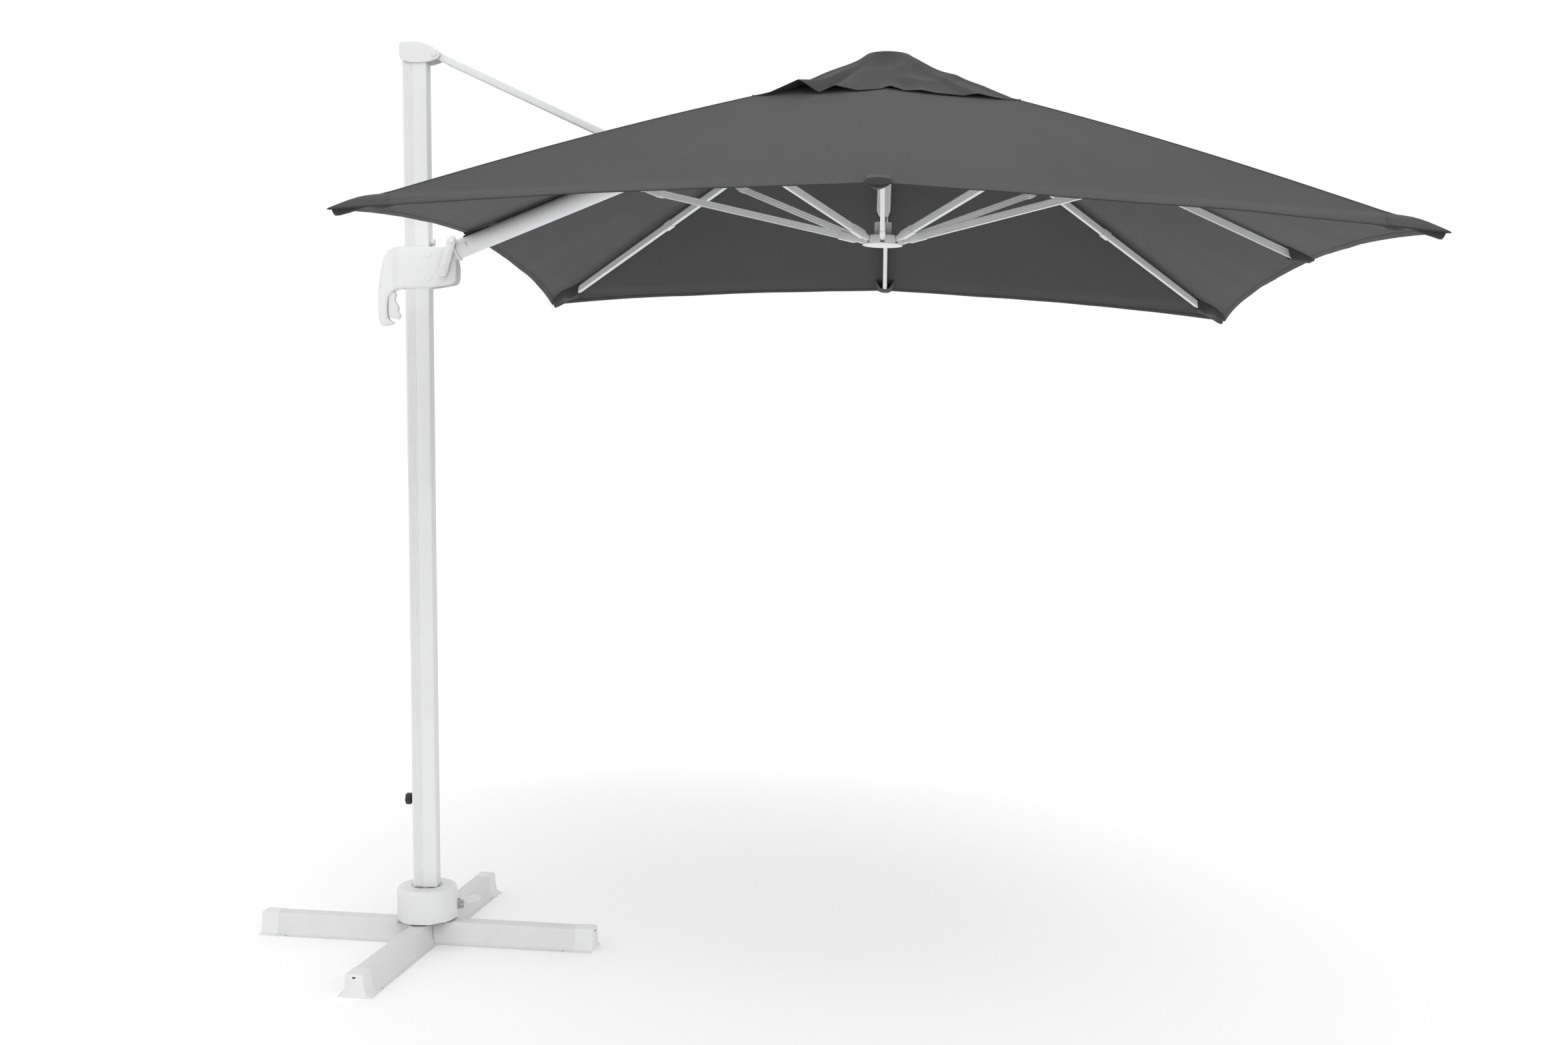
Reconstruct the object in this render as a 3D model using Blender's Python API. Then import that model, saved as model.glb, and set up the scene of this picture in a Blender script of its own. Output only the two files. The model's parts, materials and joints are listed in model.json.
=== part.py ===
"""Cantilever parasol, 2.5 m square, with a side mast on a cross base.

Metres, +Z up. The mast's axis meets the ground at the origin, the boom runs
toward +X, and -Y is the front. It is modelled open, at its top stop.
"""

import math

import bmesh
import bpy
import numpy as np
from mathutils import Matrix, Vector

for _o in list(bpy.data.objects):
    bpy.data.objects.remove(_o, do_unlink=True)

D = math.radians

# ---- driving dimensions --------------------------------------------------
HALF = 1.25  # half the canopy's side
CORNER_Z = -0.606  # canopy corner below the hub centre
MID_R, MID_Z = 1.2656, -0.524  # middle of an edge, in the hub's frame
LEFT_MID = (-1.2675, -0.4987)  # where the left edge rests on the boom
CAP_HALF, CAP_CORNER_Z, CAP_MID_Z, CROWN_Z = 0.37, -0.117, -0.103, 0.052
VENT_HALF = 0.20  # half the side of the vent opening

P = Vector((0.062, 0, 2.7208))  # tie strut's pin, in the mast's cap
S = Vector((0.062, 0, 2.1060))  # boom's pin, in the slider
TIE_REST, TIE_SHUT = D(25.26), D(76.0)  # tie strut below the horizontal
FOLD = TIE_SHUT - TIE_REST
LINK = 0.7205  # |PQ| = |QS|
Q = P + LINK * Vector((math.cos(TIE_REST), 0, -math.sin(TIE_REST)))
BOOM = D(21.5)  # tube's slope
BOOM_H = 0.0082  # tube's axis above the pin S
BOOM_R = 0.029
BOOM_C = 1.4037  # from S to the hub's pin C, along the tube
CANOPY_PITCH, CANOPY_ROLL = D(1.65), D(-1.05)  # how the canopy hangs
C_LOCAL = Vector((-0.0593, 0, -0.0253))  # the pin C in the hub's frame

U_R, U_Z = 0.052, -0.022  # rib pins on the crown hub
RIB_OFF, RIB_D, RIB_W = 0.016, 0.022, 0.014  # tube's centre above the pin line
RIB_SHUT = D(85.0)
V_R = 0.052  # strut pins on the lower hub

MAST_X, MAST_Y = 0.0375, 0.025
MAST_TOP, MAST_FOOT = 2.716, 0.1785
BASE_YAW = D(-6.5)
ARM_L, ARM_TOP, ARM_FLANGE, ARM_CROWN = 0.53, 0.068, 0.050, 0.025

# ---- frames --------------------------------------------------------------


def frame(x, y, z, at):
    m = Matrix.Identity(4)
    for i, v in enumerate((x, y, z, at)):
        for j in range(3):
            m[j][i] = v[j]
    return m


EX, EY, EZ = Vector((1, 0, 0)), Vector((0, 1, 0)), Vector((0, 0, 1))
BOOM_DIR = Vector((math.cos(BOOM), 0, math.sin(BOOM)))
BOOM_UP = Vector((-math.sin(BOOM), 0, math.cos(BOOM)))
FB = frame(BOOM_DIR, EY, BOOM_UP, S)  # boom frame: origin at S
C = S + BOOM_C * BOOM_DIR + BOOM_H * BOOM_UP
ROLL = Matrix.Rotation(CANOPY_ROLL, 4, BOOM_DIR)
HUB_ROT = ROLL @ Matrix.Rotation(CANOPY_PITCH, 4, "Y")
HUB_O = C - HUB_ROT.to_3x3() @ C_LOCAL
FH = Matrix.Translation(HUB_O) @ HUB_ROT
FT = Matrix.Translation(C) @ ROLL @ Matrix.Translation(-C) @ FB  # rolled tube
TIE_DIR = Vector((math.cos(TIE_REST), 0, -math.sin(TIE_REST)))
TIE_UP = Vector((math.sin(TIE_REST), 0, math.cos(TIE_REST)))
FTIE = frame(TIE_DIR, EY, TIE_UP, P)
FBASE = Matrix.Rotation(BASE_YAW, 4, "Z")

RIBS = {  # name: azimuth in the hub's frame, corner or middle
    "near_left": (225, True),
    "near": (270, False),
    "near_right": (315, True),
    "right": (0, False),
    "far_right": (45, True),
    "far": (90, False),
    "far_left": (135, True),
}
CORNER_R = HALF * math.sqrt(2)


def slope_of(r, z):
    """Angle of a rib whose tube's top passes under the tip (r, z)."""
    g = D(20)
    for _ in range(30):
        g = math.atan((U_Z + (RIB_OFF + RIB_D / 2) / math.cos(g) - z) / (r - U_R))
    return g


G_CORNER = slope_of(CORNER_R, CORNER_Z - 0.003)
G_MID = slope_of(MID_R, MID_Z - 0.003)
K_CORNER = (0.715 - U_R) / math.cos(G_CORNER)
V_Z = U_Z - 2 * K_CORNER * math.sin(G_CORNER)
V_SHUT = U_Z - 2 * K_CORNER * math.sin(RIB_SHUT)
HUB_DROP = V_Z - V_SHUT


def two_ended(at, g0, g1):
    """Arm length from a pin at (r, z) so that one strut length fits open and
    shut. Returns the arm, the strut, and the strut's two angles."""
    r0, z0 = at

    def ends(a, g, v):
        return Vector((r0 + a * math.cos(g) - V_R, z0 - a * math.sin(g) - v))

    def gap(a):
        return ends(a, g0, V_Z).length - ends(a, g1, V_SHUT).length

    lo, hi = 0.5, 1.1
    for _ in range(60):
        mid = (lo + hi) / 2
        if gap(lo) * gap(mid) <= 0:
            hi = mid
        else:
            lo = mid
    o, s = ends(lo, g0, V_Z), ends(lo, g1, V_SHUT)
    return lo, o.length, math.atan2(o.y, o.x), math.atan2(s.y, s.x)


K_MID, STRUT_MID, A_MID, A_MID_SHUT = two_ended((U_R, U_Z), G_MID, RIB_SHUT)
STRUT_CORNER = K_CORNER
# the boom stands in for the left rib: its lug B hangs under the tube
B_DROP = 0.047
B_EXTRA = math.atan(B_DROP / 0.85)
B_G0 = BOOM + CANOPY_PITCH + B_EXTRA
K_BOOM, STRUT_LEFT, A_LEFT, A_LEFT_SHUT = two_ended(
    (-C_LOCAL.x, C_LOCAL.z), B_G0, B_G0 + FOLD
)


def rib_frame(name):
    az, corner = RIBS[name]
    g = G_CORNER if corner else G_MID
    er = Vector((math.cos(D(az)), math.sin(D(az)), 0))
    et = Vector((-math.sin(D(az)), math.cos(D(az)), 0))
    x = math.cos(g) * er - math.sin(g) * EZ
    z = math.sin(g) * er + math.cos(g) * EZ
    return FH @ frame(x, et, z, U_R * er + U_Z * EZ)


def strut_frame(name):
    """Origin at the rib's pin K, +X toward the lower hub's pin V."""
    if name == "left":
        az, a, reach = 180, A_LEFT, STRUT_LEFT
    else:
        az, corner = RIBS[name]
        a, reach = (G_CORNER, STRUT_CORNER) if corner else (A_MID, STRUT_MID)
    er = Vector((math.cos(D(az)), math.sin(D(az)), 0))
    et = Vector((-math.sin(D(az)), math.cos(D(az)), 0))
    v = V_R * er + V_Z * EZ
    k = v + reach * (math.cos(a) * er + math.sin(a) * EZ)
    x = (v - k).normalized()
    return FH @ frame(x, et, x.cross(et), k)


# ---- materials -----------------------------------------------------------


def material(name, colour, rough, metal=0.0):
    m = bpy.data.materials.new(name)
    m.use_nodes = True
    b = m.node_tree.nodes["Principled BSDF"]
    b.inputs["Base Color"].default_value = (*colour, 1)
    b.inputs["Roughness"].default_value = rough
    b.inputs["Metallic"].default_value = metal
    m.diffuse_color = (*colour, 1)
    return m


PAINT = material("white_powder_coat", (0.76, 0.77, 0.78), 0.45)
PLASTIC = material("white_plastic", (0.72, 0.73, 0.74), 0.5)
FABRIC = material("grey_polyester", (0.115, 0.118, 0.125), 0.9)
BLACK = material("black_plastic", (0.02, 0.02, 0.022), 0.5)
ZINC = material("zinc_plate", (0.48, 0.49, 0.5), 0.35, 0.9)

# ---- solids --------------------------------------------------------------


def add(name, bm, m, at=None):
    bmesh.ops.remove_doubles(bm, verts=bm.verts, dist=1e-6)
    bmesh.ops.recalc_face_normals(bm, faces=bm.faces)
    mesh = bpy.data.meshes.new(name)
    bm.to_mesh(mesh)
    bm.free()
    o = bpy.data.objects.new(name, mesh)
    if at is not None:
        mesh.transform(at)
    bpy.context.scene.collection.objects.link(o)
    if m:
        mesh.materials.append(m)
    return o


def loft(rings, closed_ends=True, holes=None):
    """Solid through rings of points; holes are inner rings, open at both ends."""
    bm = bmesh.new()

    def skin(rs, ends):
        vs = [[bm.verts.new(p) for p in r] for r in rs]
        for a, b in zip(vs, vs[1:]):
            n = len(a)
            for i in range(n):
                bm.faces.new((a[i], a[(i + 1) % n], b[(i + 1) % n], b[i]))
        if ends:
            bm.faces.new(vs[0][::-1])
            bm.faces.new(vs[-1])
        return vs

    out = skin(rings, closed_ends and not holes)
    if holes:
        inn = skin(holes, False)
        for e in (0, -1):
            a, b = out[e], inn[e]
            n = len(a)
            for i in range(n):
                bm.faces.new((a[i], a[(i + 1) % n], b[(i + 1) % n], b[i]))
    return bm


def circle(r, n=24, at=(0, 0)):
    return [
        (at[0] + r * math.cos(2 * math.pi * i / n), at[1] + r * math.sin(2 * math.pi * i / n))
        for i in range(n)
    ]


def rect(w, h, at=(0, 0), c=0.0):
    """Rectangle of half-sizes w, h with chamfer c, counter-clockwise."""
    x, y = at
    if not c:
        return [(x - w, y - h), (x + w, y - h), (x + w, y + h), (x - w, y + h)]
    return [
        (x - w + c, y - h), (x + w - c, y - h), (x + w, y - h + c), (x + w, y + h - c),
        (x + w - c, y + h), (x - w + c, y + h), (x - w, y + h - c), (x - w, y - h + c),
    ]


def spread(outline, axis, t):
    """A 2-D outline set at t along an axis: x holds (y, z), y (x, z), z (x, y)."""
    if axis == "x":
        return [(t, a, b) for a, b in outline]
    if axis == "y":
        return [(a, t, b) for a, b in outline]
    return [(a, b, t) for a, b in outline]


def prism(outline, axis, t0, t1, inner=None):
    return loft(
        [spread(outline, axis, t0), spread(outline, axis, t1)],
        holes=[spread(inner, axis, t0), spread(inner, axis, t1)] if inner else None,
    )


def solid(name, bm, m=None, at=None):
    return add(name, bm, m, at)


def join(a, others, operation="UNION"):
    for b in others:
        mod = a.modifiers.new("b", "BOOLEAN")
        mod.operation = operation
        mod.solver = "EXACT"
        mod.object = b
        bpy.context.view_layer.update()
        graph = bpy.context.evaluated_depsgraph_get()
        made = bpy.data.meshes.new_from_object(a.evaluated_get(graph))
        a.modifiers.clear()
        a.data = made
        bpy.data.objects.remove(b, do_unlink=True)
    made = a.data
    if made.materials and len(made.materials) > 1:
        keep = made.materials[0]
        made.materials.clear()
        made.materials.append(keep)
        for f in made.polygons:
            f.material_index = 0
    return a


def cut(a, others):
    return join(a, others, "DIFFERENCE")


def place(o, at):
    o.data.transform(at)
    return o


def T(outline_bm):
    return solid("tool", outline_bm)


def slot_outline(x0, x1, y0, y1):
    return [(x0, y0), (x1, y0), (x1, y1), (x0, y1)]


# ---- base ----------------------------------------------------------------


def arm(name, turn, half_lap_low):
    hat = [
        (-ARM_FLANGE, 0.0), (-ARM_FLANGE, 0.0025), (-0.040, 0.0045), (-0.031, 0.013),
        (-0.0265, 0.030), (-ARM_CROWN, 0.062), (-0.019, ARM_TOP), (0.019, ARM_TOP),
        (ARM_CROWN, 0.062), (0.0265, 0.030), (0.031, 0.013), (0.040, 0.0045),
        (ARM_FLANGE, 0.0025), (ARM_FLANGE, 0.0),
        (0.0375, 0.0), (0.0285, 0.0115), (0.024, 0.030), (0.0225, 0.0605),
        (0.0175, 0.0655), (-0.0175, 0.0655), (-0.0225, 0.0605), (-0.024, 0.030),
        (-0.0285, 0.0115), (-0.0375, 0.0),
    ]
    o = solid(name, prism(hat, "x", -ARM_L, ARM_L), PAINT)
    if half_lap_low:
        tool = T(prism(slot_outline(-0.0505, 0.0505, 0.034, 0.1), "y", -0.1, 0.1))
    else:
        tool = T(prism(slot_outline(-0.0505, 0.0505, -0.01, 0.0345), "y", -0.1, 0.1))
    cut(o, [tool])
    for e in (-1, 1):
        for s in (-1, 1):
            cut(o, [T(prism(circle(0.004, 12, (e * 0.49, s * 0.0435)), "z", -0.01, 0.02))])
    return place(o, FBASE @ Matrix.Rotation(D(turn), 4, "Z"))


def end_cap(name, turn):
    out = [
        (-0.0255, 0.0005), (-0.0255, 0.064), (-0.0205, 0.0702), (0.0205, 0.0702),
        (0.0255, 0.064), (0.0255, 0.0005),
    ]
    o = solid(name, prism(out, "x", ARM_L + 0.0003, ARM_L + 0.012), PLASTIC)
    plug = prism(slot_outline(-0.0165, 0.0165, 0.012, 0.058), "x", ARM_L - 0.03, ARM_L + 0.001)
    join(o, [T(plug)])
    cut(o, [T(prism(slot_outline(-0.006, 0.006, 0.052, 0.056), "x", ARM_L - 0.05, ARM_L + 0.02))])
    return place(o, FBASE @ Matrix.Rotation(D(turn), 4, "Z"))


arm("base_arm_long", 0, True)
arm("base_arm_cross", 90, False)
end_cap("end_cap_right", 0)
end_cap("end_cap_far", 90)
end_cap("end_cap_left", 180)
end_cap("end_cap_near", 270)
solid("base_plate", prism(rect(0.075, 0.075, c=0.012), "z", 0.0684, 0.0724), ZINC, FBASE)
solid("centre_foot", prism(circle(0.015, 24), "z", 0.0, 0.0652), BLACK)
cover = solid(
    "base_cover", loft([spread(circle(0.0915, 40), "z", 0.0727), spread(circle(0.0915, 40), "z", 0.171),
                        spread(circle(0.0875, 40), "z", 0.175)]), PLASTIC)
cut(cover, [
    T(prism(circle(0.0885, 40), "z", 0.05, 0.1715)),
    T(prism(circle(0.0225, 32), "z", 0.1, 0.2)),
])
stub = solid("base_spindle", prism(circle(0.021, 32), "z", 0.0727, 0.520, circle(0.0185, 32)), ZINC)
join(stub, [T(prism(circle(0.052, 32), "z", 0.0727, 0.0767, circle(0.0185, 32)))])
PEDAL_AZ = D(38)
FPED = Matrix.Rotation(PEDAL_AZ, 4, "Z") @ Matrix.Translation((0.1035, 0, 0.098))
bracket = solid("pedal_bracket", prism(slot_outline(-0.0115, 0.012, -0.013, 0.013), "y", -0.014, 0.014), ZINC)
cut(bracket, [T(prism(slot_outline(-0.0085, 0.02, -0.02, 0.02), "y", -0.011, 0.011))])
cut(bracket, [T(prism(circle(0.0032, 16, (0.0045, 0.0)), "y", -0.03, 0.03))])
place(bracket, FPED)
pedal = solid("foot_pedal", loft([
    spread(rect(0.0105, 0.0035, (0, 0.0)), "x", -0.004),
    spread(rect(0.0105, 0.0045, (0, 0.0)), "x", 0.0150),
    spread(rect(0.0200, 0.0050, (0, 0.004)), "x", 0.026),
    spread(rect(0.0230, 0.0050, (0, 0.008)), "x", 0.058),
    spread(rect(0.0190, 0.0035, (0, 0.0105)), "x", 0.068),
]), PLASTIC)
join(pedal, [T(prism(circle(0.0028, 16, (0.0045, 0.0)), "y", -0.0145, 0.0145))])
place(pedal, FPED)

# ---- mast ----------------------------------------------------------------

mast = solid("mast_tube", prism(rect(MAST_X, MAST_Y, c=0.006), "z", MAST_FOOT, MAST_TOP,
                                rect(MAST_X - 0.0022, MAST_Y - 0.0022, c=0.005)), PAINT)
FKNOB = Matrix.Translation((-MAST_X, 0, 0.4455))
cut(mast, [T(prism(circle(0.0045, 16, (0, 0.4455)), "x", -0.06, 0.0))])
cut(mast, [T(prism(circle(0.0045, 16, (0, 2.1605)), "x", 0.0, 0.06))])
foot = solid("mast_bushing", prism(rect(MAST_X - 0.003, MAST_Y - 0.003, c=0.004), "z", MAST_FOOT + 0.0008, 0.245), BLACK)
cut(foot, [T(prism(circle(0.0215, 32), "z", 0.1, 0.3))])
cap = solid("mast_cap", prism([
    (-0.046, 2.6956), (0.0835, 2.6956), (0.0835, 2.744), (0.074, 2.7650), (-0.032, 2.7650), (-0.046, 2.752),
], "y", -0.031, 0.031), PLASTIC)
cut(cap, [
    T(prism(rect(MAST_X + 0.0006, MAST_Y + 0.0006, c=0.006), "z", 2.6, 2.7166)),
    T(prism(slot_outline(0.0415, 0.095, 2.68, 2.739), "y", -0.0215, 0.0215)),
    T(prism(circle(0.0052, 20, (P.x, P.z)), "y", -0.05, 0.05)),
])
pin = solid("cap_pin", prism(circle(0.005, 20, (P.x, P.z)), "y", -0.034, 0.034), ZINC)
join(pin, [T(prism(circle(0.009, 20, (P.x, P.z)), "y", y, y + 0.004)) for y in (-0.0354, 0.0314)])
knob = solid("mast_knob", prism(circle(0.0042, 16), "x", -0.008, 0.0065), BLACK)
join(knob, [
    T(prism(circle(0.010, 20), "x", -0.0075, -0.0005)),
    T(prism([(r * math.cos(2 * math.pi * i / 24), r * math.sin(2 * math.pi * i / 24))
             for i in range(24) for r in [0.018 if i % 4 < 2 else 0.0155]], "x", -0.0240, -0.007)),
])
place(knob, FKNOB)
peg = solid("stop_peg", prism(circle(0.0043, 16, (0, 2.1605)), "x", 0.0260, 0.0400), PLASTIC)
join(peg, [T(prism(circle(0.0105, 20, (0, 2.1605)), "x", 0.0378, 0.0500))])

# ---- tie strut -----------------------------------------------------------

tie = solid("tie_strut", prism(rect(0.0180, 0.011, c=0.003), "x", 0.050, LINK - 0.062,
                               rect(0.0166, 0.0096, c=0.002)), PAINT)
head = prism([(0.0, -0.011)] + [(0.011 * math.cos(D(a)), 0.011 * math.sin(D(a))) for a in
              range(-105, -271, -15)] + [(0.075, 0.0102), (0.075, -0.0102)], "y", -0.0172, 0.0172)
head = T(head)
cut(head, [T(prism(circle(0.0053, 20), "y", -0.05, 0.05))])
join(tie, [head])
fork = [(LINK, 0.0070)] + [(LINK + 0.0070 * math.cos(D(a)), 0.0070 * math.sin(D(a))) for a in
        range(75, -91, -15)] + [(LINK - 0.014, -0.0072), (LINK - 0.030, -0.0100), (LINK - 0.080, -0.0100),
        (LINK - 0.080, 0.0100), (LINK - 0.020, 0.0105)]
fork = T(prism(fork, "y", -0.0190, 0.0190))
cut(fork, [
    T(prism(slot_outline(LINK - 0.0320, LINK + 0.02, -0.03, 0.03), "y", -0.0123, 0.0123)),
    T(prism(circle(0.0053, 20, (LINK, 0)), "y", -0.05, 0.05)),
])
join(tie, [fork])
cut(tie, [T(prism(circle(0.0030, 12, (0.130, 0)), "z", -0.05, 0.0))])
place(tie, FTIE)
tpin = solid("tie_pin", prism(circle(0.005, 20), "y", -0.0220, 0.0220), ZINC)
join(tpin, [T(prism(circle(0.0075, 20), "y", y, y + 0.0035)) for y in (-0.0229, 0.0194)])
place(tpin, Matrix.Translation(Q))

# ---- boom ----------------------------------------------------------------

Q_T, Q_N = (Q - S).dot(BOOM_DIR), (Q - S).dot(BOOM_UP)


def ring(r, n=32):
    return circle(r, n, (0, BOOM_H))


collar = solid("boom_collar", prism(ring(0.0335), "x", Q_T - 0.019, Q_T + 0.019), PLASTIC)
lug = [(Q_T - 0.016, BOOM_H + 0.029), (Q_T + 0.016, BOOM_H + 0.029)] + [
    (Q_T + 0.0085 * math.cos(D(a)), Q_N + 0.0085 * math.sin(D(a))) for a in range(0, 181, 20)]
join(collar, [T(prism(lug, "y", -0.0118, 0.0118))])
cut(collar, [T(prism(ring(0.0294), "x", Q_T - 0.1, Q_T + 0.1)),
             T(prism(circle(0.0053, 20, (Q_T, Q_N)), "y", -0.05, 0.05))])
place(collar, FB)

LEVER_PIN = (0.0683, 0.0343)  # lever's pin, along and above the boom from S
LEVER_TIP = (-0.0285, -0.0970)  # middle of the lever's round end, from its pin
socket = solid("boom_socket", prism(ring(0.0268), "x", 0.060, 0.150), PLASTIC)
join(socket, [
    T(prism(ring(0.0340), "x", 0.0580, 0.0660)),
    T(prism([(0.0600, 0.026)] + [(0.018 * math.cos(D(a)), 0.018 * math.sin(D(a))) for a in
             range(100, 271, 17)] + [(0.0600, -0.018)], "y", -0.0248, 0.0248)),
    T(prism(slot_outline(0.0580, 0.0660, 0.015, 0.034), "y", -0.0330, -0.0100)),
    T(prism(slot_outline(0.0560, 0.0790, 0.0230, 0.0450), "y", -0.0362, -0.0300)),
])
cut(socket, [
    T(prism(circle(0.0053, 20), "y", -0.05, 0.05)),
    T(prism(circle(0.0042, 16, LEVER_PIN), "y", -0.05, -0.0275)),
])
place(socket, FB)
lever = solid("tilt_lever", prism(circle(0.0125, 24), "y", -0.0500, -0.0370), PLASTIC)
join(lever, [
    T(prism([(-0.0115, 0.0034), (0.0115, -0.0034)] + [
        (LEVER_TIP[0] + 0.0135 * math.cos(D(a)), LEVER_TIP[1] + 0.0135 * math.sin(D(a)))
        for a in range(-16, -197, -18)], "y", -0.0490, -0.0375)),
    T(prism(circle(0.0038, 16), "y", -0.0420, -0.0280)),
])
LEVER_AT = FB @ Vector((LEVER_PIN[0], 0, LEVER_PIN[1]))
place(lever, Matrix.Translation(LEVER_AT))

tube = solid("boom_tube", prism(ring(BOOM_R), "x", 0.0665, BOOM_C - 0.062, ring(BOOM_R - 0.0018)), PAINT)
cut(tube, [T(prism(circle(0.0045, 16, (BOOM_C - K_BOOM * math.cos(B_EXTRA), 0)), "z", -0.10, BOOM_H))])
place(tube, FT)
tip = solid("boom_tip", prism([
    (BOOM_C + 0.014 * math.cos(D(a)), BOOM_H + 0.014 * math.sin(D(a))) for a in range(-90, 91, 15)] + [
    (BOOM_C - 0.060, BOOM_H + 0.022), (BOOM_C - 0.060, BOOM_H - 0.022)], "y", -0.0100, 0.0100), PLASTIC)
join(tip, [
    T(prism(ring(0.0268), "x", BOOM_C - 0.100, BOOM_C - 0.0615)),
    T(prism(ring(BOOM_R), "x", BOOM_C - 0.0617, BOOM_C - 0.0560)),
])
cut(tip, [T(prism(circle(0.0063, 20, (BOOM_C, BOOM_H)), "y", -0.05, 0.05))])
place(tip, FT)
spin = solid("boom_pin", prism(circle(0.005, 20), "y", -0.0330, 0.0330), ZINC)
join(spin, [T(prism(circle(0.0085, 20), "y", y, y + 0.0035)) for y in (-0.0339, 0.0304)])
place(spin, Matrix.Translation(S))

B_T = BOOM_C - K_BOOM * math.cos(B_EXTRA)
B_N = BOOM_H - K_BOOM * math.sin(B_EXTRA)
lugb = solid("boom_lug", prism([
    (B_T - 0.022, BOOM_H - 0.0295), (B_T - 0.022, BOOM_H - 0.0335), (B_T - 0.009, B_N + 0.002),
    (B_T - 0.005, B_N - 0.0065), (B_T + 0.005, B_N - 0.0065), (B_T + 0.009, B_N + 0.002),
    (B_T + 0.022, BOOM_H - 0.0335), (B_T + 0.022, BOOM_H - 0.0295)], "y", -0.0090, 0.0090), PLASTIC)
cut(lugb, [
    T(prism(slot_outline(B_T - 0.03, B_T + 0.03, B_N - 0.03, B_N + 0.0098), "y", -0.0063, 0.0063)),
])
join(lugb, [T(prism(circle(0.0030, 16, (B_T, B_N)), "y", -0.0085, 0.0085))])
place(lugb, FT)

# ---- slider --------------------------------------------------------------

SZ0, SZ1 = 2.0210, 2.1462
PLATE = [(-0.0600, SZ0), (0.0440, 2.0208), (0.1000, 2.0301), (0.1125, 2.0333), (0.1205, 2.0460),
         (0.1218, 2.0600), (0.1218, 2.0953), (0.1120, 2.1200), (0.0960, 2.1405), (0.0860, 2.1434), (-0.0600, SZ1)]
GRIP = [(-0.0590, SZ0), (-0.0680, 2.0170), (-0.0880, 2.0050), (-0.0960, 1.9850), (-0.0975, 1.9400),
        (-0.0930, 1.9250), (-0.0743, 1.9169), (-0.0961, 1.9085), (-0.1117, 1.9067), (-0.1200, 1.9130),
        (-0.1230, 1.9250), (-0.1241, 1.9526), (-0.1248, 1.9898), (-0.1226, 2.0302), (-0.1148, 2.0767),
        (-0.1055, 2.1139), (-0.0940, 2.1330), (-0.0810, 2.1425), (-0.0650, 2.1462), (-0.0590, 2.1462)]
TRIGGER_PIN = (-0.0830, 2.0060)


def shell(name, sign):
    def slab(outline, y0, y1):
        a, b = sorted((sign * y0, sign * y1))
        return prism(outline, "y", a, b)

    o = solid(name, slab(PLATE, 0.0256, 0.0300), PLASTIC)
    join(o, [
        T(slab(slot_outline(-0.0600, -0.0381, SZ0, SZ1), 0.0002, 0.0290)),
        T(slab(slot_outline(0.0381, 0.0425, 2.0215, 2.1445), 0.0002, 0.0270)),
        T(slab(GRIP, 0.0002, 0.0160)),
    ])
    cut(o, [
        T(prism(circle(0.0053, 20, (S.x, S.z)), "y", -0.05, 0.05)),
        T(prism([(-0.1040, 1.9290), (-0.0660, 1.9240), (-0.0660, 2.0080), (-0.0780, 2.0180), (-0.0900, 2.0180),
                 (-0.1040, 1.9900)], "y", -0.0105, 0.0105)),
        T(prism(circle(0.0032, 16, TRIGGER_PIN), "y", -0.0125, 0.0125)),
    ])
    return o


shell("slider_front", -1)
shell("slider_back", 1)
trigger = solid("slider_trigger", prism([
    (-0.0870, 2.0110), (-0.0790, 2.0130), (-0.0728, 2.0069), (-0.0725, 1.9985), (-0.0760, 1.9898),
    (-0.0735, 1.9800), (-0.0660, 1.9681), (-0.0645, 1.9595), (-0.0660, 1.9510), (-0.0610, 1.9430),
    (-0.0595, 1.9386), (-0.0605, 1.9320), (-0.0660, 1.9275), (-0.0800, 1.9300), (-0.0915, 1.9360),
    (-0.0940, 1.9500), (-0.0930, 1.9850), (-0.0900, 2.0030),
], "y", -0.0100, 0.0100), PLASTIC)
join(trigger, [T(prism(circle(0.0028, 16, TRIGGER_PIN), "y", -0.0121, 0.0121))])

# ---- crown hub, post and lower hub ---------------------------------------

hub = solid("crown_hub", prism(circle(0.066, 40), "z", -0.036, -0.008), PLASTIC)
join(hub, [
    T(prism(circle(0.020, 24), "z", -0.01, 0.045)),
    T(prism(circle(0.067, 40), "z", 0.0400, 0.0470)),
    T(prism(slot_outline(-0.075, -0.0200, -0.0235, 0.0235), "z", -0.0480, -0.0080)),
])
tools = [T(prism(slot_outline(-0.10, -0.0410, -0.0104, 0.0104), "z", -0.06, 0.03)),
         ]
for az, _ in RIBS.values():
    t = T(prism(slot_outline(0.0400, 0.09, -0.0064, 0.0064), "z", -0.08, 0.03))
    place(t, Matrix.Rotation(D(az), 4, "Z"))
    tools.append(t)
cut(hub, tools)
join(hub, [place(T(prism(circle(0.0028, 16, (U_R, U_Z)), "y", -0.0085, 0.0085)), Matrix.Rotation(D(az), 4, "Z"))
           for az, _ in RIBS.values()])
join(hub, [T(prism(circle(0.0060, 20, (C_LOCAL.x, C_LOCAL.z)), "y", -0.0200, 0.0200))])
place(hub, FH)

POST_END = -0.4230
post = solid("centre_post", loft([
    spread(rect(0.020, 0.020, c=0.003), "z", -0.0365), spread(rect(0.020, 0.020, c=0.003), "z", POST_END + 0.016),
    spread(rect(0.013, 0.013, c=0.003), "z", POST_END)]), PAINT)
cut(post, [T(prism(rect(0.0182, 0.0182, c=0.002), "z", -0.05, POST_END + 0.020)),
           T(prism(circle(0.008, 16), "z", POST_END - 0.02, -0.3))])
place(post, FH)

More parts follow.
